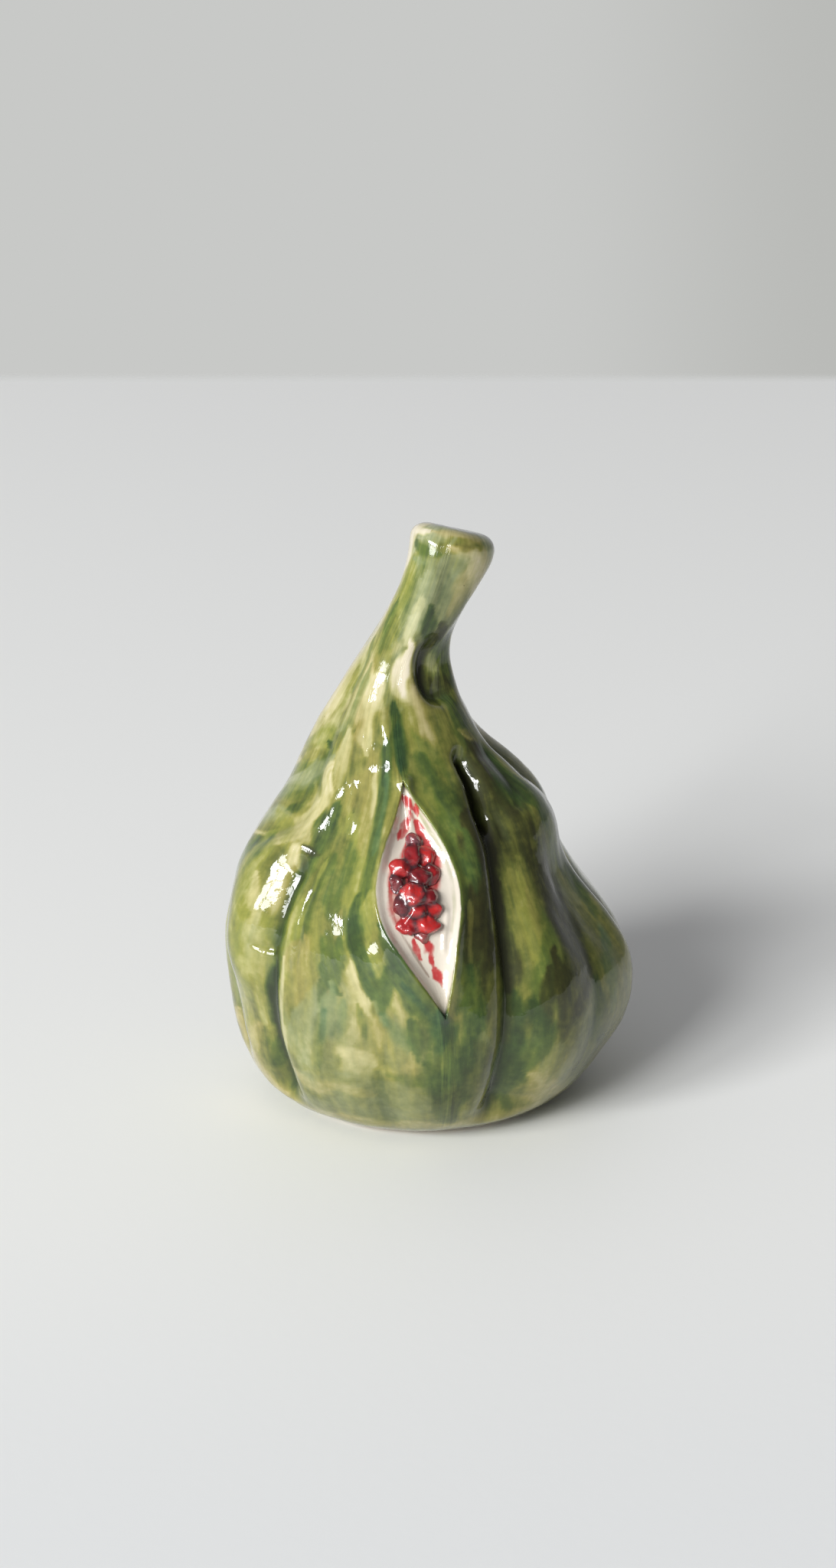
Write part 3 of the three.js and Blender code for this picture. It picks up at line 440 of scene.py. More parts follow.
# Strokes of the same kind round the back: pigments, how many, widths, highest and lowest start, lengths.
BACK_LAYERS = [
    (("lime", "leaf", "olive", "sage", "pale lime"), 22, (6, 10), (54, 24), (14, 26)),
    (("leaf", "moss", "ochre", "lime", "olive", "tan"), 34, (2.6, 5.0), (56, 14), (8, 20)),
    (("moss", "umber", "bottle", "leaf"), 16, (1.6, 3.2), (52, 18), (8, 18)),
    (("butter", "tan", "pale lime", "mint"), 18, (1.4, 3.0), (52, 14), (5, 12)),
    (("butter", "stone", "tan"), 12, (4, 7), (10, 6), (3, 5)),
]
BACK_FROM, BACK_TO = 92, 270  # degrees
BACK_LOWEST = 3  # height at which such a stroke ends at the latest
BACK_STRENGTHS = (0.55, 0.9)
BACK_LEAN, BACK_BEND = 4, 1.5  # degrees by which such a stroke strays at its ends and at its middle
BACK_SEED = 11
STEM_BACK = [
    ("sage", 8, 0.8, [(74, 120), (66, 120), (58, 118)]),
    ("leaf", 4, 0.75, [(73, 150), (66, 156), (58, 150)]),
    ("butter", 3.4, 0.7, [(73, 108), (66, 112), (60, 110)]),
    ("olive", 3, 0.7, [(72, -170), (66, -168), (58, -166)]),
    ("moss", 1.6, 0.7, [(70, -148), (64, -150), (56, -146)]),
    ("butter", 5, 0.8, [(73.6, -118), (67, -120), (60, -118)]),
    ("leaf", 2, 0.6, [(71, -134), (66, -132), (60, -136)]),
    ("tan", 3, 0.7, [(72.8, 80), (72.4, 120), (72.6, 160)]),
]

# Marks on the slit's white floor, as width, strength and course: watery red dabs, brown where the colour ran
# into the angles, and pale green that bled in from the right lip.
RED_DABS = [
    (2.0, 1.1, [(44.6, 1.8), (43.6, 5.0)]),
    (1.5, 0.9, [(43.6, 6.0), (42.9, 6.2)]),
    (1.4, 0.9, [(43.0, 2.4), (42.4, 4.0)]),
    (2.2, 1.0, [(42.4, 1.2), (40.8, -2.6)]),
    (1.6, 1.1, [(41.2, -2.4), (40.2, -3.6)]),
    (2.6, 1.1, [(42.0, 5.0), (40.4, 7.0)]),
    (2.6, 1.0, [(40.2, 2), (36, 1), (32, 1.5)]),
    (3.0, 1.1, [(39.8, 8.4), (36, 9.6), (31.6, 6.4)]),
    (2.6, 0.8, [(37.4, -4.0), (33, -4.4), (30.4, 0)]),
    (1.7, 0.9, [(29.0, 0.8), (27.2, 1.8)]),
    (1.9, 0.9, [(28.9, 3.4), (27.2, 5.2)]),
    (1.5, 1.0, [(27.4, 4.2), (26.0, 4.8)]),
    (2.0, 1.2, [(25.8, 4.8), (24.4, 6.2)]),
    (0.4, 0.9, [(24.6, 6.2), (23.8, 6.0)]),
]
BROWN_LINES = [
    (0.5, 0.3, [(41.5, -3.4), (38, -7), (34.5, -8.8), (31, -7), (27.4, -1.6)]),
    (0.45, 0.7, [(35.6, -6.4), (33, -6.2), (30.6, -4.2), (28, -0.6), (25, 3)]),
    (0.9, 0.8, [(29.4, 3.0), (28.6, 3.8)]),
]
GREEN_BLEED = [
    (0.5, 0.5, [(44.4, 4.6), (41.6, 10.6), (38.6, 15.4), (35.6, 16.8), (32.4, 15.4), (29.6, 12.4)]),
]

# The brush: how far a stroke sways and how far its edge frays, in half widths; where the edge begins to fade
# and where it is gone; how much is missing at the dry end; and how thickly it covers against its strength.
SWAY, FRAY = 0.7, 0.6
EDGE_FADE = (0.4, 1.25)
RUN_DRY = 0.3
COVER = 1.3
BRUSH_REACH = 1.5  # in widths of a stroke, past which it leaves no paint
SWAY_LENGTH = 3.5
TIP_TEETH = 0.6  # width of the ragged teeth at a stroke's ends
TIP_WIDTH = 0.35  # of a stroke at its ends, against its full width
# Streaks along a stroke, at its frayed edge and under the bristles: width of a streak, its place in the
# noise, its length and its share. Between the bristles' streaks the paint keeps its least share.
FRAYS = [(1.3, 20, 2.4, 1.0), (0.5, 0, 3, 0.7)]
BRISTLES = [(1.2, 9, 4, 0.28), (0.4, 5, 6, 0.3)]
LEAST_BRISTLES = 0.58
STROKE_NOISE = 3  # how far on in the noise each next stroke is
MARK_NOISE = 500  # where in the noise the marks on the slit's floor begin


def smoothstep(start, end, x):
    t = np.clip((x - start) / (end - start), 0, 1)
    return t * t * (3 - 2 * t)


def level_values(level):
    """The bare form's values at a level, from a uniform cubic B-spline through the rows of LEVELS."""
    level = np.asarray(level, float)
    i = np.clip(np.floor(level).astype(int), 0, TOP_LEVEL - 1)
    f = (level - i)[..., None]
    rows = np.vstack([2 * LEVELS[0] - LEVELS[1], LEVELS, 2 * LEVELS[-1] - LEVELS[-2]])
    weights = [(1 - f) ** 3, 3 * f ** 3 - 6 * f ** 2 + 4, -3 * f ** 3 + 3 * f ** 2 + 3 * f + 1, f ** 3]
    return sum(weight * rows[i + k] for k, weight in enumerate(weights)) / 6


def bare_point(phi, level):
    height, right, left, front, back, x, y, lean_right, lean_back = np.moveaxis(level_values(level), -1, 0)
    reach = (right + left + front + back) / 4 + (right - left) / 2 * np.sin(phi)
    reach = reach + (front - back) / 2 * np.cos(phi) + (front + back - right - left) / 4 * np.cos(2 * phi)
    lean_right, lean_back = np.radians(lean_right), np.radians(lean_back)
    across, away = reach * np.sin(phi), -reach * np.cos(phi)
    z = height - FOOT_FLAT - across * np.sin(lean_right) - away * np.sin(lean_back)
    return np.stack([x + across * np.cos(lean_right), y + away * np.cos(lean_back), z], -1)


def bare_normal(phi, level):
    step = 1e-3
    above, below = np.minimum(level + step, TOP_LEVEL), np.maximum(level - step, 0)
    along = bare_point(phi, above) - bare_point(phi, below)
    around = bare_point(phi + step, level) - bare_point(phi - step, level)
    normal = np.cross(around, along)
    return normal / np.maximum(np.linalg.norm(normal, axis=-1, keepdims=True), 1e-12)


LEVEL_TABLE = np.linspace(FIRST_LEVEL, RIM_LEVEL, 2001)
HEIGHT_TABLE = level_values(LEVEL_TABLE)[:, 0]


def on_form(height, angle):
    """A point of the bare form."""
    level = np.interp(height, HEIGHT_TABLE, LEVEL_TABLE)
    return bare_point(np.radians(angle), level)


def off_form(height, angle, out):
    """A point straight out of the bare form, or into it where out is below zero."""
    level = np.interp(height, HEIGHT_TABLE, LEVEL_TABLE)
    phi = np.radians(angle)
    return bare_point(phi, level) + bare_normal(phi, level) * out


def curve_through(points, count):
    """Evenly numbered points on a smooth curve through pairs of height and angle."""
    p = np.array(points, float)
    p = np.vstack([2 * p[0] - p[1], p, 2 * p[-1] - p[-2]])
    t = np.linspace(0, len(p) - 3 - 1e-9, count)
    i = t.astype(int)
    f = (t - i)[:, None]
    a, b, c, d = p[i], p[i + 1], p[i + 2], p[i + 3]
    square, cube = 2 * a - 5 * b + 4 * c - d, 3 * b - 3 * c + d - a
    return 0.5 * (2 * b + (c - a) * f + square * f ** 2 + cube * f ** 3)


class Surface:
    """Points of the bare form, and how near they are to courses drawn on it."""

    def __init__(self, phi, level):
        self.phi, self.level = phi, level
        self.height = level_values(level)[..., 0]
        self.angle = np.degrees((phi + math.pi) % (2 * math.pi) - math.pi)
        self.places = bare_point(phi, level)
        self.normals = bare_normal(phi, level)

    def beside(self, points, reach, samples=33):
        """The points within reach of a course: which they are, how far to its right they lie, and how far
        along it from its start and from its end."""
        flat = curve_through(points, samples)
        line = on_form(flat[:, 0], flat[:, 1])
        inside = (self.places > line.min(0) - reach) & (self.places < line.max(0) + reach)
        which = np.nonzero(inside.all(1))[0]
        places, normals = self.places[which], self.normals[which]
        pieces = line[1:] - line[:-1]
        lengths = np.linalg.norm(pieces, axis=1)
        starts = np.concatenate([[0], np.cumsum(lengths)])
        best = np.full(len(which), np.inf)
        side = np.zeros(len(which))
        run = np.zeros(len(which))
        for k, (piece, length) in enumerate(zip(pieces, lengths)):
            offset = places - line[k]
            t = np.clip(offset @ piece / length ** 2, 0, 1)
            offset -= t[:, None] * piece
            distance = np.linalg.norm(offset, axis=1)
            nearer = distance < best
            best[nearer] = distance[nearer]
            run[nearer] = starts[k] + t[nearer] * length
            turned = np.cross(normals[nearer], piece / length)
            side[nearer] = np.sign(np.einsum("ij,ij->i", offset[nearer], turned))
        return which, best * side, run, starts[-1] - run


def ribs(phi, height):
    """Broad ribs and the slight unevenness of hand-pressed clay, whose dents waver so that none repeats."""
    start, full, fading, gone = RIB_HEIGHTS
    keep = smoothstep(start, full, height) * (1 - smoothstep(fading, gone, height))
    waves = sum(rise * np.sin(count * phi + turn + twist * height) for rise, count, turn, twist in RIBS)
    dents = np.sin(0.31 * height + 2.2 * np.sin(2 * phi + 0.5)) * np.sin(3 * phi + 0.11 * height)
    return keep * waves + HAND_DENTS * smoothstep(*DENTS_BEGIN, height) * dents


def slit_at(height):
    """The slit's left and right edge at a height, in degrees, and its full depth and its width there."""
    edges = []
    for edge in (SLIT_LEFT, SLIT_RIGHT):
        curve = curve_through(edge, 200)[::-1]
        edges.append(np.interp(height, curve[:, 0], curve[:, 1]))
    width = np.linalg.norm(on_form(height, edges[0]) - on_form(height, edges[1]), axis=-1)
    return edges[0], edges[1], SLIT_DEPTH * smoothstep(0, SLIT_FULL_WIDTH, width), width


def swellings(places):
    """How far the hollows and swellings move the clay out, at each of the places."""
    out = np.zeros(len(places))
    for height, angle, half_width, half_length, depth in HOLLOWS:
        along = on_form(height + 1, angle) - on_form(height - 1, angle)
        along /= np.linalg.norm(along)
        offset = places - on_form(height, angle)
        lengthwise = offset @ along
        sideways = (offset ** 2).sum(1) - lengthwise ** 2
        apart = sideways / half_width ** 2 + (lengthwise / half_length) ** 2
        out -= depth * np.exp(-apart ** SWELLING_POWER)
    return out


def shape_relief(surface):
    """How far the clay stands out of the bare form, and what the paint does there: how much painted shade a
    fold gets, how far a ridge stands out, and the distance inside the slit's edge."""
    out = ribs(surface.phi, surface.height)
    fold_shade = np.zeros(len(out))
    ridges = np.maximum(out, 0)
    for depth, left, right, fade_in, fade_out, points in FOLDS:
        which, distance, run, to_end = surface.beside(points, FOLD_REACH * max(left, right))
        width = left + (right - left) * smoothstep(-FOLD_CHANGE, FOLD_CHANGE, distance)
        keep = smoothstep(0, fade_in, run) * smoothstep(0, fade_out, to_end)
        groove = np.exp(FOLD_ROUNDNESS - np.hypot(distance / width, FOLD_ROUNDNESS))
        ridge = RIDGE_SHARE * np.exp(-((np.abs(distance) - RIDGE_PLACE * width) / width) ** 2)
        out[which] += depth * keep * (ridge - groove)
        # Painted shade near a fold's bottom, darker the deeper the fold.
        near = np.exp(-(distance / np.minimum(width, FOLD_SHADE_WIDTH)) ** 2)
        fold_shade[which] = np.maximum(fold_shade[which], keep * near * min(depth / DARKEST_FOLD_SHADE_DEPTH, 1))
        ridges[which] += depth * keep * ridge
    for edge, rise, width in LIPS:
        which, distance, _, _ = surface.beside(edge, LIP_REACH * width)
        out[which] += rise * np.exp(-(distance / width) ** 2)
        ridges[which] += LIP_THINNING * rise * np.exp(-(distance / width) ** 2)
    left, right, depth, width = slit_at(surface.height)
    across = (surface.angle - (left + right) / 2) / np.maximum((right - left) / 2, 1e-3)
    open_here = (surface.height < SLIT_LEFT[0][0]) & (surface.height > SLIT_LEFT[-1][0])
    inside = open_here & (np.abs(across) < 1)
    floor = depth * (1 - np.abs(across) ** SLIT_WALL_POWER)
    out = np.where(inside, out * smoothstep(SLIT_RIM, 1, np.abs(across)) - floor, out)
    out += swellings(surface.places)
    inward = np.where(open_here, (1 - np.abs(across)) * width / 2, -1)
    for rise, reach, points in GLAZE_RUNS:
        which, distance, run, to_end = surface.beside(points, LIP_REACH * reach)
        keep = smoothstep(0, 1, run) * smoothstep(0, 1, to_end)
        out[which] += rise * keep * np.exp(-(distance / reach) ** 2)
    keep = smoothstep(RELIEF_FROM, RELIEF_FROM + RELIEF_FADE, surface.level)
    keep = keep * (1 - smoothstep(RELIEF_TO - RELIEF_FADE, RELIEF_TO, surface.level))
    return out * keep, fold_shade * keep, ridges * keep, inward


def column_angles(heights):
    """The angle of every column at each row: crowded at the front, and kept along the slit and the two long
    folds."""
    even = np.linspace(-math.pi, math.pi, COLUMNS, endpoint=False)
    crowded = np.degrees(even - FRONT_CROWDING * np.sin(even))
    folds = [curve_through(LEFT_FOLD, 60), curve_through(DEEP_FOLD_TOP[:2] + DEEP_FOLD[1:], 60)]
    left_fold, deep_fold = (np.interp(heights, fold[::-1, 0], fold[::-1, 1]) for fold in folds)
    left, right, _, _ = slit_at(heights)
    half = np.maximum((right - left) / 2, NARROWEST_SLIT / 2)
    middle = (left + right) / 2
    homes = [-180, LEFT_FOLD_HOME, *SLIT_HOMES, DEEP_FOLD_HOME, RIGHT_HOME, 180]
    rows = []
    for ends in zip(left_fold, middle - half, middle + half, deep_fold):
        rows.append(np.interp(crowded, homes, [-180, *ends, RIGHT_HOME, 180]))
    return np.radians(crowded), np.radians(np.array(rows))


def row_levels():
    """Levels of the rows, evenly spaced along the form but closer together beside the slit."""
    fine = np.linspace(FIRST_LEVEL, TOP_LEVEL - CUT_GAP, 4000)
    values = level_values(fine)
    reach = values[:, 1:5].mean(1)
    step = np.hypot(np.diff(values[:, 0]), np.diff(reach))
    height = values[1:, 0]
    start, full, fading, gone = BESIDE_SLIT
    crowding = smoothstep(start, full, height) * (1 - smoothstep(fading, gone, height))
    run = np.concatenate([[0], np.cumsum(step * (1 + (ROW_CROWDING - 1) * crowding))])
    return np.interp(np.linspace(0, run[-1], ROWS), run, fine)


def value_noise(x, y, seed):
    """Smooth noise from 0 to 1 on a plane, one lattice cell a unit."""
    table = np.random.default_rng(seed).random((64, 64))
    i, j = np.floor(x).astype(int), np.floor(y).astype(int)
    u, v = smoothstep(0, 1, x - i), smoothstep(0, 1, y - j)
    low = table[i % 64, j % 64] * (1 - u) + table[(i + 1) % 64, j % 64] * u
    high = table[i % 64, (j + 1) % 64] * (1 - u) + table[(i + 1) % 64, (j + 1) % 64] * u
    return low * (1 - v) + high * v


def streaks(across, run, kinds, seed, start=0.0):
    """Streaks of several kinds along a stroke, added to a start."""
    return sum((share * value_noise(across / width + place, run / length, seed + k)
                for k, (width, place, length, share) in enumerate(kinds)), start)


def brush(surface, width, strength, points, seed):
    """Where a brush stroke lies and how thickly it covers: watery, ragged at its edges and streaked by its
    bristles."""
    half = width / 2
    which, across, run, to_end = surface.beside(points, BRUSH_REACH * width, samples=17)
    across = across + SWAY * half * (value_noise(run / SWAY_LENGTH, 7, seed) - 0.5)
    teeth = value_noise(across / TIP_TEETH + 30, 3, seed + 4) - 0.5
    to_tip = np.minimum(run, to_end) + half * teeth
    taper = TIP_WIDTH + (1 - TIP_WIDTH) * smoothstep(-0.3 * half, 2 * half, to_tip)
    frayed = streaks(across, run, FRAYS, seed) - sum(share for *_, share in FRAYS) / 2
    edge = np.abs(across) / (half * taper) + FRAY * frayed
    bristles = streaks(across, run, BRISTLES, seed + 2, LEAST_BRISTLES)
    thinning = 1 - RUN_DRY * run / np.maximum(run + to_end, 1e-3)
    cover = strength * (1 - smoothstep(*EDGE_FADE, edge)) * bristles * thinning
    return which, np.minimum(COVER * cover, 1)


def back_strokes():
    """Strokes round the back, laid in layers from broad pale washes to narrow dark ones."""
    rng = np.random.default_rng(BACK_SEED)
    strokes = []
    for pigments, count, widths, starts, lengths in BACK_LAYERS:
        for k in range(count):
            angle = BACK_FROM + (k + rng.random()) * (BACK_TO - BACK_FROM) / count
            top = rng.uniform(*sorted(starts))
            bottom = max(top - rng.uniform(*lengths), BACK_LOWEST)
            drift = rng.normal(0, BACK_LEAN)
            middle = ((top + bottom) / 2, angle + rng.normal(0, BACK_BEND))
            course = [(top, angle + drift), middle, (bottom, angle - drift)]
            pigment = pigments[rng.integers(len(pigments))]
            strokes.append((pigment, rng.uniform(*widths), rng.uniform(*BACK_STRENGTHS), course))
    return strokes


def paint_fields(surface):
    """Green, blue-green, brown and milky strengths of the underglaze at each point."""
    fields = np.tile(np.array(PIGMENTS[WASH]), (len(surface.height), 1))
    for k, (pigment, width, strength, points) in enumerate(back_strokes() + STEM_BACK + STROKES):
        which, cover = brush(surface, width, strength, points, STROKE_NOISE * k)
        fields[which] += (np.array(PIGMENTS[pigment]) - fields[which]) * cover[:, None]
    return fields


def stain_fields(surface):
    """Red dabs, brown lines and green bleed on the slit's floor."""
    fields = np.zeros((len(surface.height), 3))
    for column, marks in enumerate((RED_DABS, BROWN_LINES, GREEN_BLEED)):
        for k, (width, strength, points) in enumerate(marks):
            which, cover = brush(surface, width, strength, points, MARK_NOISE + STROKE_NOISE * k)
            fields[which, column] = np.maximum(fields[which, column], cover)
    return fields


def swell(point):
    """The swell of the hand-pressed clay at a point."""
    return sum(height * noise.noise(point / size) for height, size in UNEVENNESS)


def add_attribute(mesh, name, kind, values):
    attribute = mesh.attributes.new(name, kind, "POINT")
    field = {"FLOAT_COLOR": "color", "FLOAT_VECTOR": "vector", "FLOAT": "value"}[kind]
    attribute.data.foreach_set(field, np.asarray(values, np.float32).ravel())


def make_object(mesh, name):
    piece = bpy.data.objects.new(name, mesh)
    bpy.context.scene.collection.objects.link(piece)
    return piece


def make_body():
    """The whole clay form but the seeds: a grid of rows and columns, closed at the foot and at the stem's
    cut, with the paint as attributes of its points."""
    levels = row_levels()
    home, phi = column_angles(level_values(levels)[:, 0])
    level = np.repeat(levels[:, None], COLUMNS, axis=1)
    surface = Surface(phi.ravel(), level.ravel())
    out, fold_shade, ridges, inward = shape_relief(surface)
    uneven = np.array([swell(Vector(place)) for place in surface.places])
    out += uneven * smoothstep(RELIEF_FROM, RELIEF_FROM + RELIEF_FADE, surface.level)
    points = surface.places + surface.normals * out[:, None]
    points[:, 2] = np.maximum(points[:, 2], 0)
    ends = np.array([[0, 0, 0], bare_point(0.0, float(TOP_LEVEL))])
    points = np.vstack([points, ends]) - (*MIDDLE, 0)

    index = np.arange(ROWS * COLUMNS).reshape(ROWS, COLUMNS)
    turned = np.roll(index, -1, axis=1)
    sides = np.stack([index[:-1], turned[:-1], turned[1:], index[1:]], -1).reshape(-1, 4).tolist()
    foot, cut = ROWS * COLUMNS, ROWS * COLUMNS + 1
    fans = [(foot, int(b), int(a)) for a, b in zip(index[0], turned[0])]
    fans += [(int(a), int(b), cut) for a, b in zip(index[-1], turned[-1])]
    mesh = bpy.data.meshes.new("fig_body")
    mesh.from_pydata((points * MM).tolist(), [], sides + fans)
    mesh.shade_smooth()

    def with_ends(values, foot_value, cut_value):
        return np.vstack([values, foot_value, cut_value])

    paint = paint_fields(surface)
    stains = stain_fields(surface)
    run = np.concatenate([[0], np.cumsum(np.linalg.norm(np.diff(points[index[:, 0]], axis=0), axis=1))])
    around = np.tile(home, ROWS)
    round_about = FLOW_RADIUS * np.sin(around), FLOW_RADIUS * np.cos(around)
    flow = np.stack([*round_about, np.repeat(run, COLUMNS)], -1)
    bare_foot = 1 - smoothstep(*BARE_FOOT, surface.height)
    glaze = np.stack([fold_shade, np.clip(0.5 + inward, 0, 1), np.clip(ridges, 0, 1), bare_foot], -1)
    marks = np.column_stack([stains, np.ones(len(stains))])
    add_attribute(mesh, "paint", "FLOAT_COLOR", with_ends(paint, PIGMENTS["cream"], PIGMENTS["butter"]))
    add_attribute(mesh, "glaze", "FLOAT_COLOR", with_ends(glaze, (0, 0, 0, 1), (0, 0, 0, 0)))
    add_attribute(mesh, "stains", "FLOAT_COLOR", with_ends(marks, (0, 0, 0, 1), (0, 0, 0, 1)))
    add_attribute(mesh, "flow", "FLOAT_VECTOR", with_ends(flow, (0, 0, 0), (0, 0, run[-1])))
    return make_object(mesh, "fig_body")


def linear(hex_colour):
    """An sRGB hex colour as linear RGBA."""
    channels = [int(hex_colour[k:k + 2], 16) / 255 for k in (1, 3, 5)]
    return (*(c / 12.92 if c <= 0.04045 else ((c + 0.055) / 1.055) ** 2.4 for c in channels), 1.0)


def add_node(tree, kind, inputs=(), stops=(), **settings):
    """Adds a node. Inputs are pairs of socket and value, where a value may also be another node's output, or
    another node for its first output. Stops are pairs of place and hex colour on a colour ramp."""
    node = tree.nodes.new(kind)
    for name, value in settings.items():
        setattr(node, name, value)
    for k, (position, hex_colour) in enumerate(stops):
        elements = node.color_ramp.elements
        element = elements[k] if k < 2 else elements.new(position)
        element.position = position
        element.color = linear(hex_colour)
    for key, value in inputs:
        if isinstance(value, bpy.types.Node):
            value = value.outputs[0]
        if isinstance(value, bpy.types.NodeSocket):
            tree.links.new(value, node.inputs[key])
        else:
            node.inputs[key].default_value = value
    return node


# Each underglaze from its thinnest wash over the pale clay to its thickest pool.
UNDERGLAZES = {
    "green": [
        (0.0, "#D6CCB4"), (0.22, "#B2AD78"), (0.42, "#83853D"), (0.6, "#58662B"), (0.78, "#3B4B22"),
        (1.0, "#283219"),
    ],
    "blue-green": [
        (0.0, "#CFCEBC"), (0.22, "#9CA985"), (0.42, "#6E835A"), (0.6, "#476740"), (0.78, "#2D4B30"),
        (1.0, "#1F3325"),
    ],
    "brown": [
        (0.0, "#D6C8AE"), (0.22, "#B5A679"), (0.42, "#8A7D48"), (0.6, "#5F552C"), (0.78, "#3A331B"),
        (1.0, "#262113"),
    ],
    "sage": [
        (0.0, "#CFC9B6"), (0.22, "#A9AB8A"), (0.42, "#80886A"), (0.6, "#5C664B"), (0.78, "#3B432F"),
        (1.0, "#272D21"),
    ],
}
WHITE_SLIP = "#D2C9BA"
BARE_CLAY = "#CDBFA8"
RED_WASH = "#B1262B"
BROWN_STAIN = "#7F6656"
THIN_GREEN = "#8E9462"
SPECK = "#35280F"


# What thins and thickens the underglaze: coordinates, size in millimetres, stretch along them and strength.
BRUSH_MARKS = [("flow", 3.0, 3, 0.44), ("flow", 0.7, 7, 0.22), ("object", 1.0, 1, 0.26)]
LEAST_LIVELY, LIVELY = 0.35, 0.9  # how strongly they show on bare clay, and how much more in full colour
FOLD_SHADE = 0.34  # how much darker the underglaze is painted in a deep fold, as painted shade
RIDGE_THINNING = -0.08  # how much the underglaze thickens on a ridge, below zero because it is thinner there
CLOUDS = 4.0  # millimetres
HUE_WANDER = 0.5  # how far the marks and the clouds change a hue's share, from least to most
SPECK_SPACING = 2.2
SPECKLESS = 0.55  # share of the cells without a speck
SPECK_RADIUS = 0.07  # the largest, against the spacing
SPECK_STRENGTH = 0.7
# Unevenness of the glaze: size in millimetres, stretch along the brush and height.
GLAZE_WAVES = [(1.8, 1.5, 0.035), (0.8, 1.5, 0.015), (0.35, 1.5, 0.010)]
GLAZE_IOR = 1.5
GLAZE_ROUGHNESS = 0.05
PAINT_ROUGHNESS, CLAY_ROUGHNESS = 0.4, 0.85
PAINT_SPECULAR = 0.05  # next to none, because the glaze over it gives the reflection


def new_material(name):
    material = bpy.data.materials.new(name)
    material.use_nodes = True
    tree = material.node_tree
    tree.nodes.clear()
    return material, tree


def ragged_layer(tree, cloudy, below, over, amount, raggedness, low, high, most=1.0):
    """Lays one colour over another from a low to a high amount, with an edge that cloudy marks break up.
    Gives the colour, and the node that says how far the upper one covers."""
    ragged = add_node(tree, "ShaderNodeMath", [(0, cloudy), (1, raggedness), (2, amount)],
                      operation="MULTIPLY_ADD")
    cover = add_node(tree, "ShaderNodeMapRange", [(0, ragged), (1, low), (2, high), (3, 0.0), (4, most)],
                     interpolation_type="SMOOTHSTEP")
    mixed = add_node(tree, "ShaderNodeMix", [(0, cover), (6, below), (7, over)], data_type="RGBA")
    return mixed.outputs[2], cover


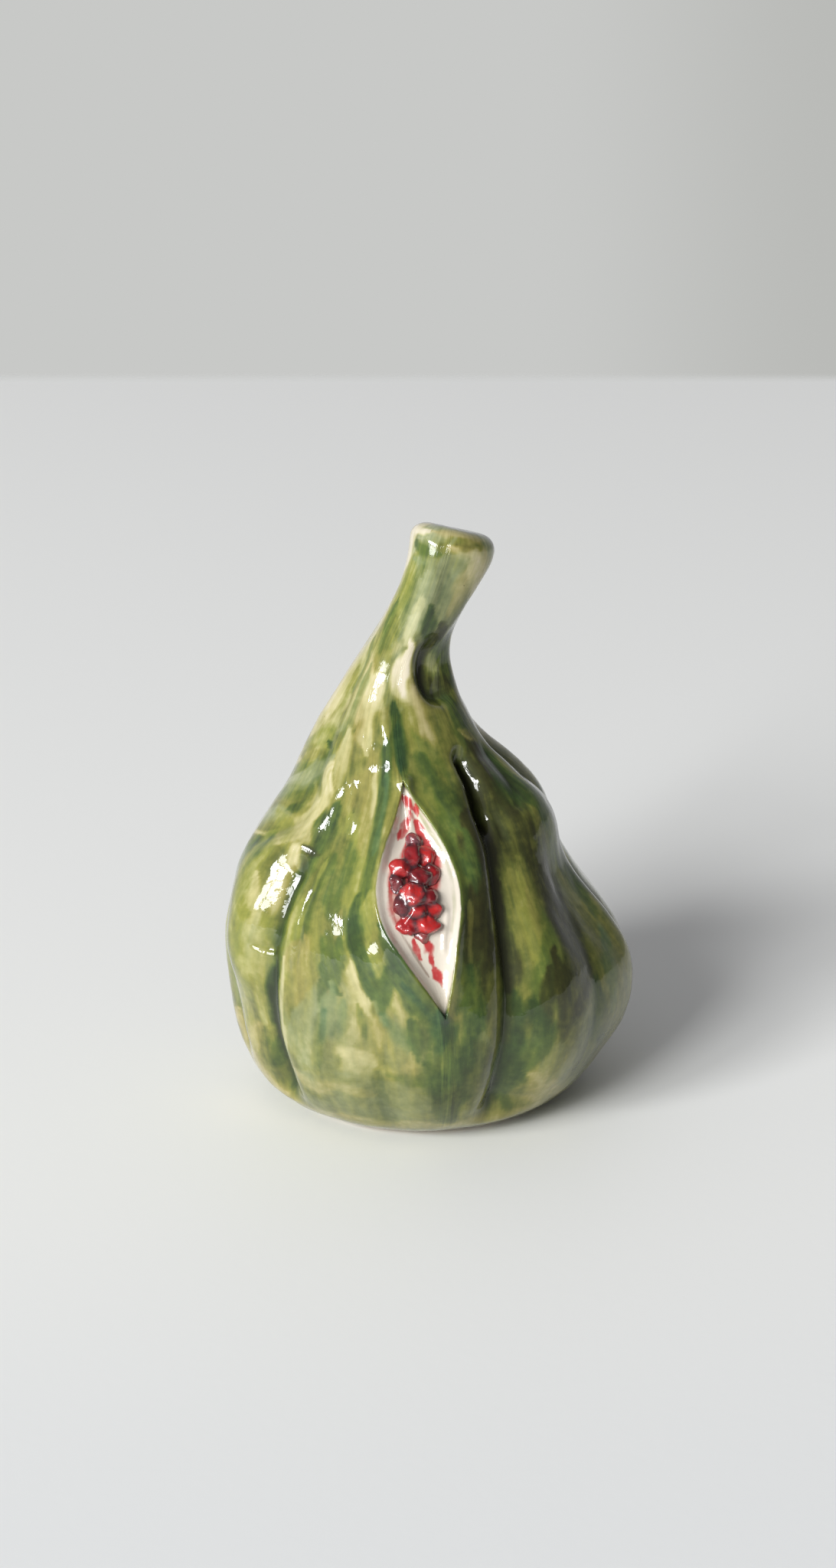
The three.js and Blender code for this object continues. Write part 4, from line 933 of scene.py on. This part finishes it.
def painted_earthenware():
    """White earthenware with brushed green, brown and blue-green underglaze, under a clear gloss glaze.
    The eye gets soft washes that run from cream to near black green, darkened in the folds by painted
    shade and thin on the ridges, and one sharp wet reflection on top of all of them."""
    material, tree = new_material("painted earthenware under clear gloss glaze")
    paint = add_node(tree, "ShaderNodeAttribute", attribute_name="paint")
    glaze = add_node(tree, "ShaderNodeAttribute", attribute_name="glaze")
    stains = add_node(tree, "ShaderNodeAttribute", attribute_name="stains")
    flow = add_node(tree, "ShaderNodeAttribute", attribute_name="flow").outputs["Vector"]
    place = add_node(tree, "ShaderNodeTexCoord").outputs["Object"]
    green, blue, brown = add_node(tree, "ShaderNodeSeparateColor", [(0, paint)]).outputs
    groove, slit, ridge = add_node(tree, "ShaderNodeSeparateColor", [(0, glaze)]).outputs
    red_dab, brown_line, green_bleed = add_node(tree, "ShaderNodeSeparateColor", [(0, stains)]).outputs

    # Broad marks of 3 mm and bristle marks of 0.7 mm along the brush, and grains of 1 mm where the wash dried
    # unevenly. They take away from its thickness as much as they add.
    uneven = -0.5 * sum(share for _, _, _, share in BRUSH_MARKS)
    mottling = []
    for coordinates, size, stretch, share in BRUSH_MARKS:
        source, scale = (flow, 1 / size) if coordinates == "flow" else (place, PER_MM / size)
        stretched = add_node(tree, "ShaderNodeMapping", [
            ("Vector", source), ("Scale", (scale, scale, scale / stretch))])
        mark = add_node(tree, "ShaderNodeTexNoise", [("Vector", stretched), ("Scale", 1.0), ("Detail", 2.0)])
        uneven = add_node(tree, "ShaderNodeMath", [(0, mark), (1, share), (2, uneven)],
                          operation="MULTIPLY_ADD")
        mottling.append(mark)
    broad, bristly, cloudy = mottling
    liveliness = add_node(tree, "ShaderNodeMath", [(0, green), (1, LIVELY), (2, LEAST_LIVELY)],
                          operation="MULTIPLY_ADD")
    thickness = green
    # A deep fold is painted darker as painted shade, and a ridge a little thinner.
    for amount, share in ((uneven, liveliness), (groove, FOLD_SHADE), (ridge, RIDGE_THINNING)):
        thickness = add_node(tree, "ShaderNodeMath", [(0, amount), (1, share), (2, thickness)],
                             operation="MULTIPLY_ADD")

    # The hue wanders with broad clouds and with the same brush marks.
    clouds = add_node(tree, "ShaderNodeTexNoise", [("Vector", place), ("Scale", PER_MM / CLOUDS)])
    colour = add_node(tree, "ShaderNodeValToRGB", [(0, thickness)], UNDERGLAZES["green"])
    hues = [("blue-green", blue, clouds), ("brown", brown, broad), ("sage", paint.outputs["Alpha"], bristly)]
    for name, amount, wander in hues:
        ramp = add_node(tree, "ShaderNodeValToRGB", [(0, thickness)], UNDERGLAZES[name])
        share = add_node(tree, "ShaderNodeMath", [(0, wander), (1, HUE_WANDER), (2, amount)],
                         operation="MULTIPLY_ADD")
        share = add_node(tree, "ShaderNodeMath", [(0, share), (1, HUE_WANDER / 2)], operation="SUBTRACT")
        colour = add_node(tree, "ShaderNodeMix", [(0, share), (6, colour), (7, ramp)],
                          data_type="RGBA", clamp_factor=True).outputs[2]

    # Brown specks in the glaze, up to 0.3 mm wide, in nearly half of the cells of 2.2 mm.
    specks = add_node(tree, "ShaderNodeTexVoronoi", [("Vector", place), ("Scale", PER_MM / SPECK_SPACING)])
    picked = add_node(tree, "ShaderNodeSeparateColor", [(0, specks.outputs["Color"])])
    speck_size = add_node(tree, "ShaderNodeMapRange", [
        (0, picked), (1, SPECKLESS), (2, 1.0), (3, 0.0), (4, SPECK_RADIUS)])
    in_speck = add_node(tree, "ShaderNodeMapRange", [
        (0, specks.outputs["Distance"]), (1, 0.0), (2, speck_size), (3, SPECK_STRENGTH), (4, 0.0)])
    colour = add_node(tree, "ShaderNodeMix", [
        (0, in_speck), (6, colour), (7, linear(SPECK))], data_type="RGBA").outputs[2]

    # The slit is white slip with green, brown and red on it, and the foot is bare clay. The numbers are how
    # ragged an edge is, the amounts between which it fades in, and how far a thin mark covers.
    floor_colour = linear(WHITE_SLIP)
    for over, amount, *edge in (
            (THIN_GREEN, green_bleed, 0.3, 0.2, 1.1, 0.85),
            (BROWN_STAIN, brown_line, 0.3, 0.2, 1.1, 0.8),
            (RED_WASH, red_dab, 0.7, 0.5, 1.35, 0.95)):
        floor_colour, _ = ragged_layer(tree, cloudy, floor_colour, linear(over), amount, *edge)
    colour, _ = ragged_layer(tree, cloudy, colour, floor_colour, slit, 0.18, 0.6, 0.82)
    bare_foot = glaze.outputs["Alpha"]
    colour, bare = ragged_layer(tree, cloudy, colour, linear(BARE_CLAY), bare_foot, 0.5, 0.65, 0.85)

    # The glaze lies in waves of 1.8 and 0.8 mm over the brush marks, with a grain of 0.35 mm.
    normal = []
    for size, stretch, height in GLAZE_WAVES:
        stretched = add_node(tree, "ShaderNodeMapping", [
            ("Vector", flow), ("Scale", (1 / size, 1 / size, 1 / (size * stretch)))])
        wave = add_node(tree, "ShaderNodeTexNoise", [("Vector", stretched), ("Scale", 1.0), ("Detail", 1.0)])
        bump = add_node(tree, "ShaderNodeBump", [
            ("Height", wave), ("Distance", height * MM), ("Strength", 1.0), *normal])
        normal = [("Normal", bump)]
    rough = add_node(tree, "ShaderNodeMath", [
        (0, bare), (1, CLAY_ROUGHNESS - PAINT_ROUGHNESS), (2, PAINT_ROUGHNESS)], operation="MULTIPLY_ADD")
    glazed = add_node(tree, "ShaderNodeMath", [(0, 1.0), (1, bare)], operation="SUBTRACT")
    shader = add_node(tree, "ShaderNodeBsdfPrincipled", [
        ("Base Color", colour), ("Roughness", rough), ("Specular IOR Level", PAINT_SPECULAR),
        ("Coat Weight", glazed), ("Coat Roughness", GLAZE_ROUGHNESS), ("Coat IOR", GLAZE_IOR),
        ("Normal", bump), ("Coat Normal", bump)])
    add_node(tree, "ShaderNodeOutputMaterial", [("Surface", shader)])
    return material


RED_CLAY = [(0.0, "#4A0A12"), (0.4, "#861219"), (0.75, "#B0201E"), (1.0, "#6E3A40")]
THIN_RED = "#B0706A"
# Painted shade: the dark purple laid where two seeds meet.
PAINTED_SHADE_PURPLE = "#35181D"
RED_PATCHES = 0.55  # millimetres
RED_PATCH_HEIGHT = 0.06
BEAD_ROUGHNESS = 0.35
BEAD_SPECULAR = 0.3


def glazed_red_clay():
    """Rolled beads of clay brushed red, under the same clear gloss glaze, with dark purple painted as shade
    where they meet. The eye gets wet red beads, each a little different, that sink into a painted
    grey-purple shade where they meet."""
    material, tree = new_material("red brushed clay beads under clear gloss glaze")
    bead = add_node(tree, "ShaderNodeAttribute", attribute_name="bead")
    tone, seed_shade, thin = add_node(tree, "ShaderNodeSeparateColor", [(0, bead)]).outputs
    place = add_node(tree, "ShaderNodeTexCoord").outputs["Object"]
    patchy = add_node(tree, "ShaderNodeTexNoise", [
        ("Vector", place), ("Scale", PER_MM / RED_PATCHES), ("Detail", 3.0)])
    # Where the red is thick, where it is washed thin and where the dark purple is painted as shade between
    #     seeds. The numbers are how strongly patches break each of them up, and the amounts between which it
    #     comes in.
    shares = []
    for amount, patches, low, high in ((tone, 0.6, 0.3, 1.3), (thin, 0.6, 0.5, 1.5), (seed_shade, 1.3, 0.85, 1.75)):
        broken = add_node(tree, "ShaderNodeMath", [(0, patchy), (1, patches), (2, amount)],
                          operation="MULTIPLY_ADD")
        shares.append(add_node(tree, "ShaderNodeMapRange", [(0, broken), (1, low), (2, high)]))
    colour = add_node(tree, "ShaderNodeValToRGB", [(0, shares[0])], RED_CLAY)
    for share, over in zip(shares[1:], (THIN_RED, PAINTED_SHADE_PURPLE)):
        colour = add_node(tree, "ShaderNodeMix", [
            (0, share), (6, colour), (7, linear(over))], data_type="RGBA").outputs[2]
    bump = add_node(tree, "ShaderNodeBump", [
        ("Height", patchy), ("Distance", RED_PATCH_HEIGHT * MM), ("Strength", 1.0)])
    shader = add_node(tree, "ShaderNodeBsdfPrincipled", [
        ("Base Color", colour), ("Roughness", BEAD_ROUGHNESS), ("Specular IOR Level", BEAD_SPECULAR),
        ("Coat Weight", 1.0), ("Coat Roughness", GLAZE_ROUGHNESS), ("Coat IOR", GLAZE_IOR),
        ("Normal", bump), ("Coat Normal", bump)])
    add_node(tree, "ShaderNodeOutputMaterial", [("Surface", shader)])
    return material


SEED_SUBDIVISIONS = 4
SEED_VOXEL = 0.13  # millimetres; the glaze that joins the beads is about as thick
SEED_SMOOTHING = 14
SEED_DENTS = (0.36, 1.1)  # how far the clay is dented, and how large a dent is, in millimetres
DENT_SEED = 5
SEED_SHADE_REACH = 0.8  # how far the painted purple shade reaches from where two seeds meet, against a seed's half width
THIN_RISES = (0.4, 0.8)  # a seed that rises less out of the floor is washed thin


def seed_places():
    """Every seed's middle, its outward direction and its half sizes across, along and out of the clay, in
    millimetres."""
    rows = []
    for height, angle, half_width, half_height, rise in SEEDS:
        left, right, depth, _ = slit_at(height)
        across = (angle - (left + right) / 2) / ((right - left) / 2)
        clay = swellings(on_form(height, angle)[None])[0] - depth * (1 - abs(across) ** SLIT_WALL_POWER)
        half_tall = (rise + SEED_ROOT) / 2
        middle = off_form(height, angle, clay + rise - half_tall) - (*MIDDLE, 0)
        outward = off_form(height, angle, 1) - off_form(height, angle, 0)
        rows.append((middle, outward, (half_width, half_height, half_tall)))
    return rows


def seed_tree(material):
    """Geometry Nodes that put a flattened ball on every point, turned to stand out of the slit's floor."""
    tree = bpy.data.node_groups.new("seeds on points", "GeometryNodeTree")
    tree.interface.new_socket("Geometry", in_out="INPUT", socket_type="NodeSocketGeometry")
    tree.interface.new_socket("Subdivisions", in_out="INPUT", socket_type="NodeSocketInt")
    tree.interface.new_socket("Geometry", in_out="OUTPUT", socket_type="NodeSocketGeometry")
    start = add_node(tree, "NodeGroupInput")
    size, outward = (
        add_node(tree, "GeometryNodeInputNamedAttribute", [("Name", name)], data_type="FLOAT_VECTOR")
        for name in ("size", "outward"))
    turn = add_node(tree, "FunctionNodeAlignRotationToVector", [("Vector", outward)], axis="Z")
    ball = add_node(tree, "GeometryNodeMeshIcoSphere", [("Radius", 1.0), ("Subdivisions", start.outputs[1])])
    placed = add_node(tree, "GeometryNodeInstanceOnPoints", [
        ("Points", start), ("Instance", ball), ("Rotation", turn), ("Scale", size)])
    real = add_node(tree, "GeometryNodeRealizeInstances", [("Geometry", placed)])
    finished = add_node(tree, "GeometryNodeSetMaterial", [("Geometry", real), ("Material", material)])
    add_node(tree, "NodeGroupOutput", [(0, finished)])
    return tree


def make_seeds(material):
    """The seeds, set on their places as balls and run together where they touch, as glaze joins them."""
    rows = seed_places()
    mesh = bpy.data.meshes.new("seed_points")
    mesh.from_pydata([tuple(row[0] * MM) for row in rows], [], [])
    add_attribute(mesh, "size", "FLOAT_VECTOR", [np.array(row[2]) * MM for row in rows])
    add_attribute(mesh, "outward", "FLOAT_VECTOR", [row[1] for row in rows])
    piece = make_object(mesh, "seeds")
    tree = seed_tree(material)
    nodes = piece.modifiers.new("Seeds", "NODES")
    nodes.node_group = tree
    sockets = {item.name: item.identifier for item in tree.interface.items_tree if item.in_out == "INPUT"}
    nodes[sockets["Subdivisions"]] = SEED_SUBDIVISIONS
    remesh = piece.modifiers.new("Glaze", "REMESH")
    remesh.mode = "VOXEL"
    remesh.voxel_size = SEED_VOXEL * MM
    smooth = piece.modifiers.new("Flow", "SMOOTH")
    smooth.iterations = SEED_SMOOTHING
    graph = bpy.context.evaluated_depsgraph_get()
    made = bpy.data.meshes.new_from_object(piece.evaluated_get(graph), depsgraph=graph)
    piece.modifiers.clear()
    piece.data = made
    made.name = "seeds"
    made.materials.clear()
    made.materials.append(material)
    made.shade_smooth()
    paint_seeds(made, dent_seeds(made), rows)
    return piece


def dent_seeds(mesh):
    """Presses small dents into the seeds, and gives the points that this leaves, in millimetres."""
    noise.seed_set(DENT_SEED)
    points = np.empty(len(mesh.vertices) * 3, np.float32)
    mesh.vertices.foreach_get("co", points)
    depth, size = SEED_DENTS
    points = [Vector(point) for point in points.reshape(-1, 3) / MM]
    points = np.array([point + depth * noise.noise_vector(point / size) for point in points])
    mesh.vertices.foreach_set("co", (points * MM).ravel())
    return points


def paint_seeds(mesh, points, rows):
    """How bright each point of the seeds is, how much painted purple shade it gets and how thinly it is
    washed.
    """
    middles = np.array([row[0] for row in rows])
    radii = np.array([(row[2][0] + row[2][1]) / 2 for row in rows])
    away = np.linalg.norm(points[:, None] - middles[None], axis=2) / radii
    order = np.argsort(away, axis=1)
    nearest, second = order[:, 0], order[:, 1]
    pick = np.arange(len(points))
    tone = np.array(SEED_TONES)[nearest]
    # Painted shade, darkest where a point is about as near to a second seed as to its own.
    seed_shade = 1 - smoothstep(0.0, SEED_SHADE_REACH, away[pick, second] - away[pick, nearest])
    rises = np.array([row[4] for row in SEEDS])
    thin = 1 - smoothstep(*THIN_RISES, rises[nearest])
    values = np.column_stack([tone, seed_shade * (1 - thin), thin, np.ones(len(points))])
    add_attribute(mesh, "bead", "FLOAT_COLOR", values)


# The room, in metres: a white table top, a window to the front left and the pale wall behind.
TABLE_REACH = 2.5  # to the left, to the right and towards the camera
TABLE_FAR_EDGE = 0.42
TABLE_EDGE_BLUR = 0.012
TABLE_WHITE_AND_PAINTED_LIGHT = ("#E8E9E8", "#F1F1EE")  # near the camera, and from in front of the fig on, where it is lighter as painted light
# Painted light: the span in metres, from the camera's side, over which the table grows lighter round the fig.
TABLE_PAINTED_LIGHT_SPAN = (-0.12, -0.03)
TABLE_GRAIN = 1.5  # millimetres
TABLE_GRAIN_HEIGHT = 0.01
TABLE_ROUGHNESS = 0.55
TABLE_SPECULAR = 0.3
WALL = ("#C8C9C7", "#BABBB8")  # straight behind, and to the right
WALL_DARKENS = (0.03, 0.13)  # how far to the right it does, 1 being straight to the side
WINDOW_LIGHT = "#FDFEFF"
WINDOW_DISTANCE = 3.0
WINDOW_AIM = (0, 0, 0.03)
WINDOW_AZIMUTH = -39  # degrees from the camera's side towards the left
WINDOW_ELEVATION = 23.5
WINDOW_WIDTH, WINDOW_HEIGHT = 1.70, 1.15
WINDOW_BAR = 0.10
WINDOW_PANES = [(1, 34.0), (-1, 17.5)]  # upper and lower row, with the brightness of the sky in each
ROOM_LIGHT = "#FAFBFF"
ROOM_LEFT, ROOM_RIGHT = 0.34, 0.12  # how bright the room is to each side
ROOM_SIDES = 0.8  # how far to a side it is as bright as that, 1 being straight to the side
ROOM_BACK = 0.34  # and how much brighter it is behind the fig, where the wall is
ROOM_BACK_FADE = (0.2, 0.9)
CAMERA_PLACE = (-0.0014, -0.3907, 0.1837)
CAMERA_TILT = 20  # degrees below the level
CAMERA_LENS, CAMERA_SENSOR = 74.48, 36  # millimetres


def make_table():
    """A white lacquered board with a satin finish, whose far edge melts into the wall, and which is painted
    lighter from just in front of the fig on, as painted light. The eye gets a soft, nearly even white with
    the fig's shadow on it."""
    material, tree = new_material("satin white table top")
    place = add_node(tree, "ShaderNodeTexCoord").outputs["Object"]
    away = add_node(tree, "ShaderNodeSeparateXYZ", [(0, place)]).outputs[1]
    blur_from = TABLE_FAR_EDGE - TABLE_EDGE_BLUR
    beyond = add_node(tree, "ShaderNodeMapRange", [(0, away), (1, blur_from), (2, TABLE_FAR_EDGE)],
                      interpolation_type="SMOOTHSTEP")
    grain = add_node(tree, "ShaderNodeTexNoise", [
        ("Vector", place), ("Scale", PER_MM / TABLE_GRAIN), ("Detail", 2.0)])
    bump = add_node(tree, "ShaderNodeBump", [
        ("Height", grain), ("Distance", TABLE_GRAIN_HEIGHT * MM), ("Strength", 1.0)])
    light_from, light_to = TABLE_PAINTED_LIGHT_SPAN
    painted_light = add_node(tree, "ShaderNodeMapRange", [(0, away), (1, light_from), (2, light_to)],
                       interpolation_type="SMOOTHSTEP")
    near_white, lit_white = map(linear, TABLE_WHITE_AND_PAINTED_LIGHT)
    white = add_node(tree, "ShaderNodeMix", [(0, painted_light), (6, near_white), (7, lit_white)], data_type="RGBA")
    top = add_node(tree, "ShaderNodeBsdfPrincipled", [
        ("Base Color", white.outputs[2]), ("Roughness", TABLE_ROUGHNESS),
        ("Specular IOR Level", TABLE_SPECULAR), ("Normal", bump)])
    clear = add_node(tree, "ShaderNodeBsdfTransparent")
    mixed = add_node(tree, "ShaderNodeMixShader", [(0, beyond), (1, top), (2, clear)])
    add_node(tree, "ShaderNodeOutputMaterial", [("Surface", mixed)])
    mesh = bpy.data.meshes.new("table_top")
    left, near, right = -TABLE_REACH, -TABLE_REACH, TABLE_REACH
    corners = [(left, near, 0), (right, near, 0), (right, TABLE_FAR_EDGE, 0), (left, TABLE_FAR_EDGE, 0)]
    mesh.from_pydata(corners, [], [(0, 1, 2, 3)])
    mesh.materials.append(material)
    table = make_object(mesh, "table_top")


def make_window():
    """Panes of sky between glazing bars, which the camera sees only as reflections in the glaze."""
    azimuth, elevation = math.radians(WINDOW_AZIMUTH), math.radians(WINDOW_ELEVATION)
    flat = math.cos(elevation)
    outward = Vector((math.sin(azimuth) * flat, -math.cos(azimuth) * flat, math.sin(elevation)))
    turn = (-outward).to_track_quat("-Z", "Y")
    width, height = (WINDOW_WIDTH - WINDOW_BAR) / 2, (WINDOW_HEIGHT - WINDOW_BAR) / 2
    for row, light in WINDOW_PANES:
        for column in (-1, 1):
            data = bpy.data.lights.new("window_pane", "AREA")
            data.shape = "RECTANGLE"
            data.size, data.size_y = width, height
            data.energy = light * math.pi * width * height
            data.color = linear(WINDOW_LIGHT)[:3]
            pane = bpy.data.objects.new("window_pane", data)
            pane.visible_camera = False
            bpy.context.scene.collection.objects.link(pane)
            shift = Vector((column * (width + WINDOW_BAR) / 2, row * (height + WINDOW_BAR) / 2, 0))
            pane.rotation_mode = "QUATERNION"
            pane.rotation_quaternion = turn
            pane.location = Vector(WINDOW_AIM) + outward * WINDOW_DISTANCE + turn @ shift


def make_room():
    """Soft light from all round. What the camera sees of it is the plain wall behind."""
    world = bpy.data.worlds.new("room")
    bpy.context.scene.world = world
    world.use_nodes = True
    tree = world.node_tree
    tree.nodes.clear()
    direction = add_node(tree, "ShaderNodeTexCoord").outputs["Generated"]
    rightwards, away, _ = add_node(tree, "ShaderNodeSeparateXYZ", [(0, direction)]).outputs
    sides = add_node(tree, "ShaderNodeMapRange", [
        (0, rightwards), (1, -ROOM_SIDES), (2, ROOM_SIDES), (3, ROOM_LEFT), (4, ROOM_RIGHT)],
        interpolation_type="SMOOTHSTEP")
    fade_from, fade_to = ROOM_BACK_FADE
    behind = add_node(tree, "ShaderNodeMapRange", [
        (0, away), (1, fade_from), (2, fade_to), (3, 0.0), (4, ROOM_BACK)], interpolation_type="SMOOTHSTEP")
    glow = add_node(tree, "ShaderNodeMath", [(0, sides), (1, behind)], operation="ADD")
    room = add_node(tree, "ShaderNodeBackground", [("Color", linear(ROOM_LIGHT)), ("Strength", glow)])
    grey_from, grey_to = WALL_DARKENS
    darkens = add_node(tree, "ShaderNodeMapRange", [(0, rightwards), (1, grey_from), (2, grey_to)],
                       interpolation_type="SMOOTHSTEP")
    behind_it, beside_it = map(linear, WALL)
    grey = add_node(tree, "ShaderNodeMix", [(0, darkens), (6, behind_it), (7, beside_it)], data_type="RGBA")
    wall = add_node(tree, "ShaderNodeBackground", [("Color", grey.outputs[2]), ("Strength", 1.0)])
    seen = add_node(tree, "ShaderNodeLightPath").outputs["Is Camera Ray"]
    shown = add_node(tree, "ShaderNodeMixShader", [(0, seen), (1, room), (2, wall)])
    add_node(tree, "ShaderNodeOutputWorld", [("Surface", shown)])


def make_camera():
    data = bpy.data.cameras.new("camera")
    data.sensor_width = CAMERA_SENSOR
    data.lens = CAMERA_LENS
    data.clip_start = 0.01
    camera = bpy.data.objects.new("camera", data)
    camera.location = CAMERA_PLACE
    camera.rotation_euler = (math.radians(90 - CAMERA_TILT), 0, 0)
    bpy.context.scene.collection.objects.link(camera)
    bpy.context.scene.camera = camera


body = make_body()
body.data.materials.append(painted_earthenware())
seeds = make_seeds(glazed_red_clay())
make_table()
make_window()
make_room()
make_camera()
bpy.context.scene.view_settings.view_transform = "Standard"

for piece in (body, seeds):
    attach(piece, "root")
    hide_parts("ceramic_fig")
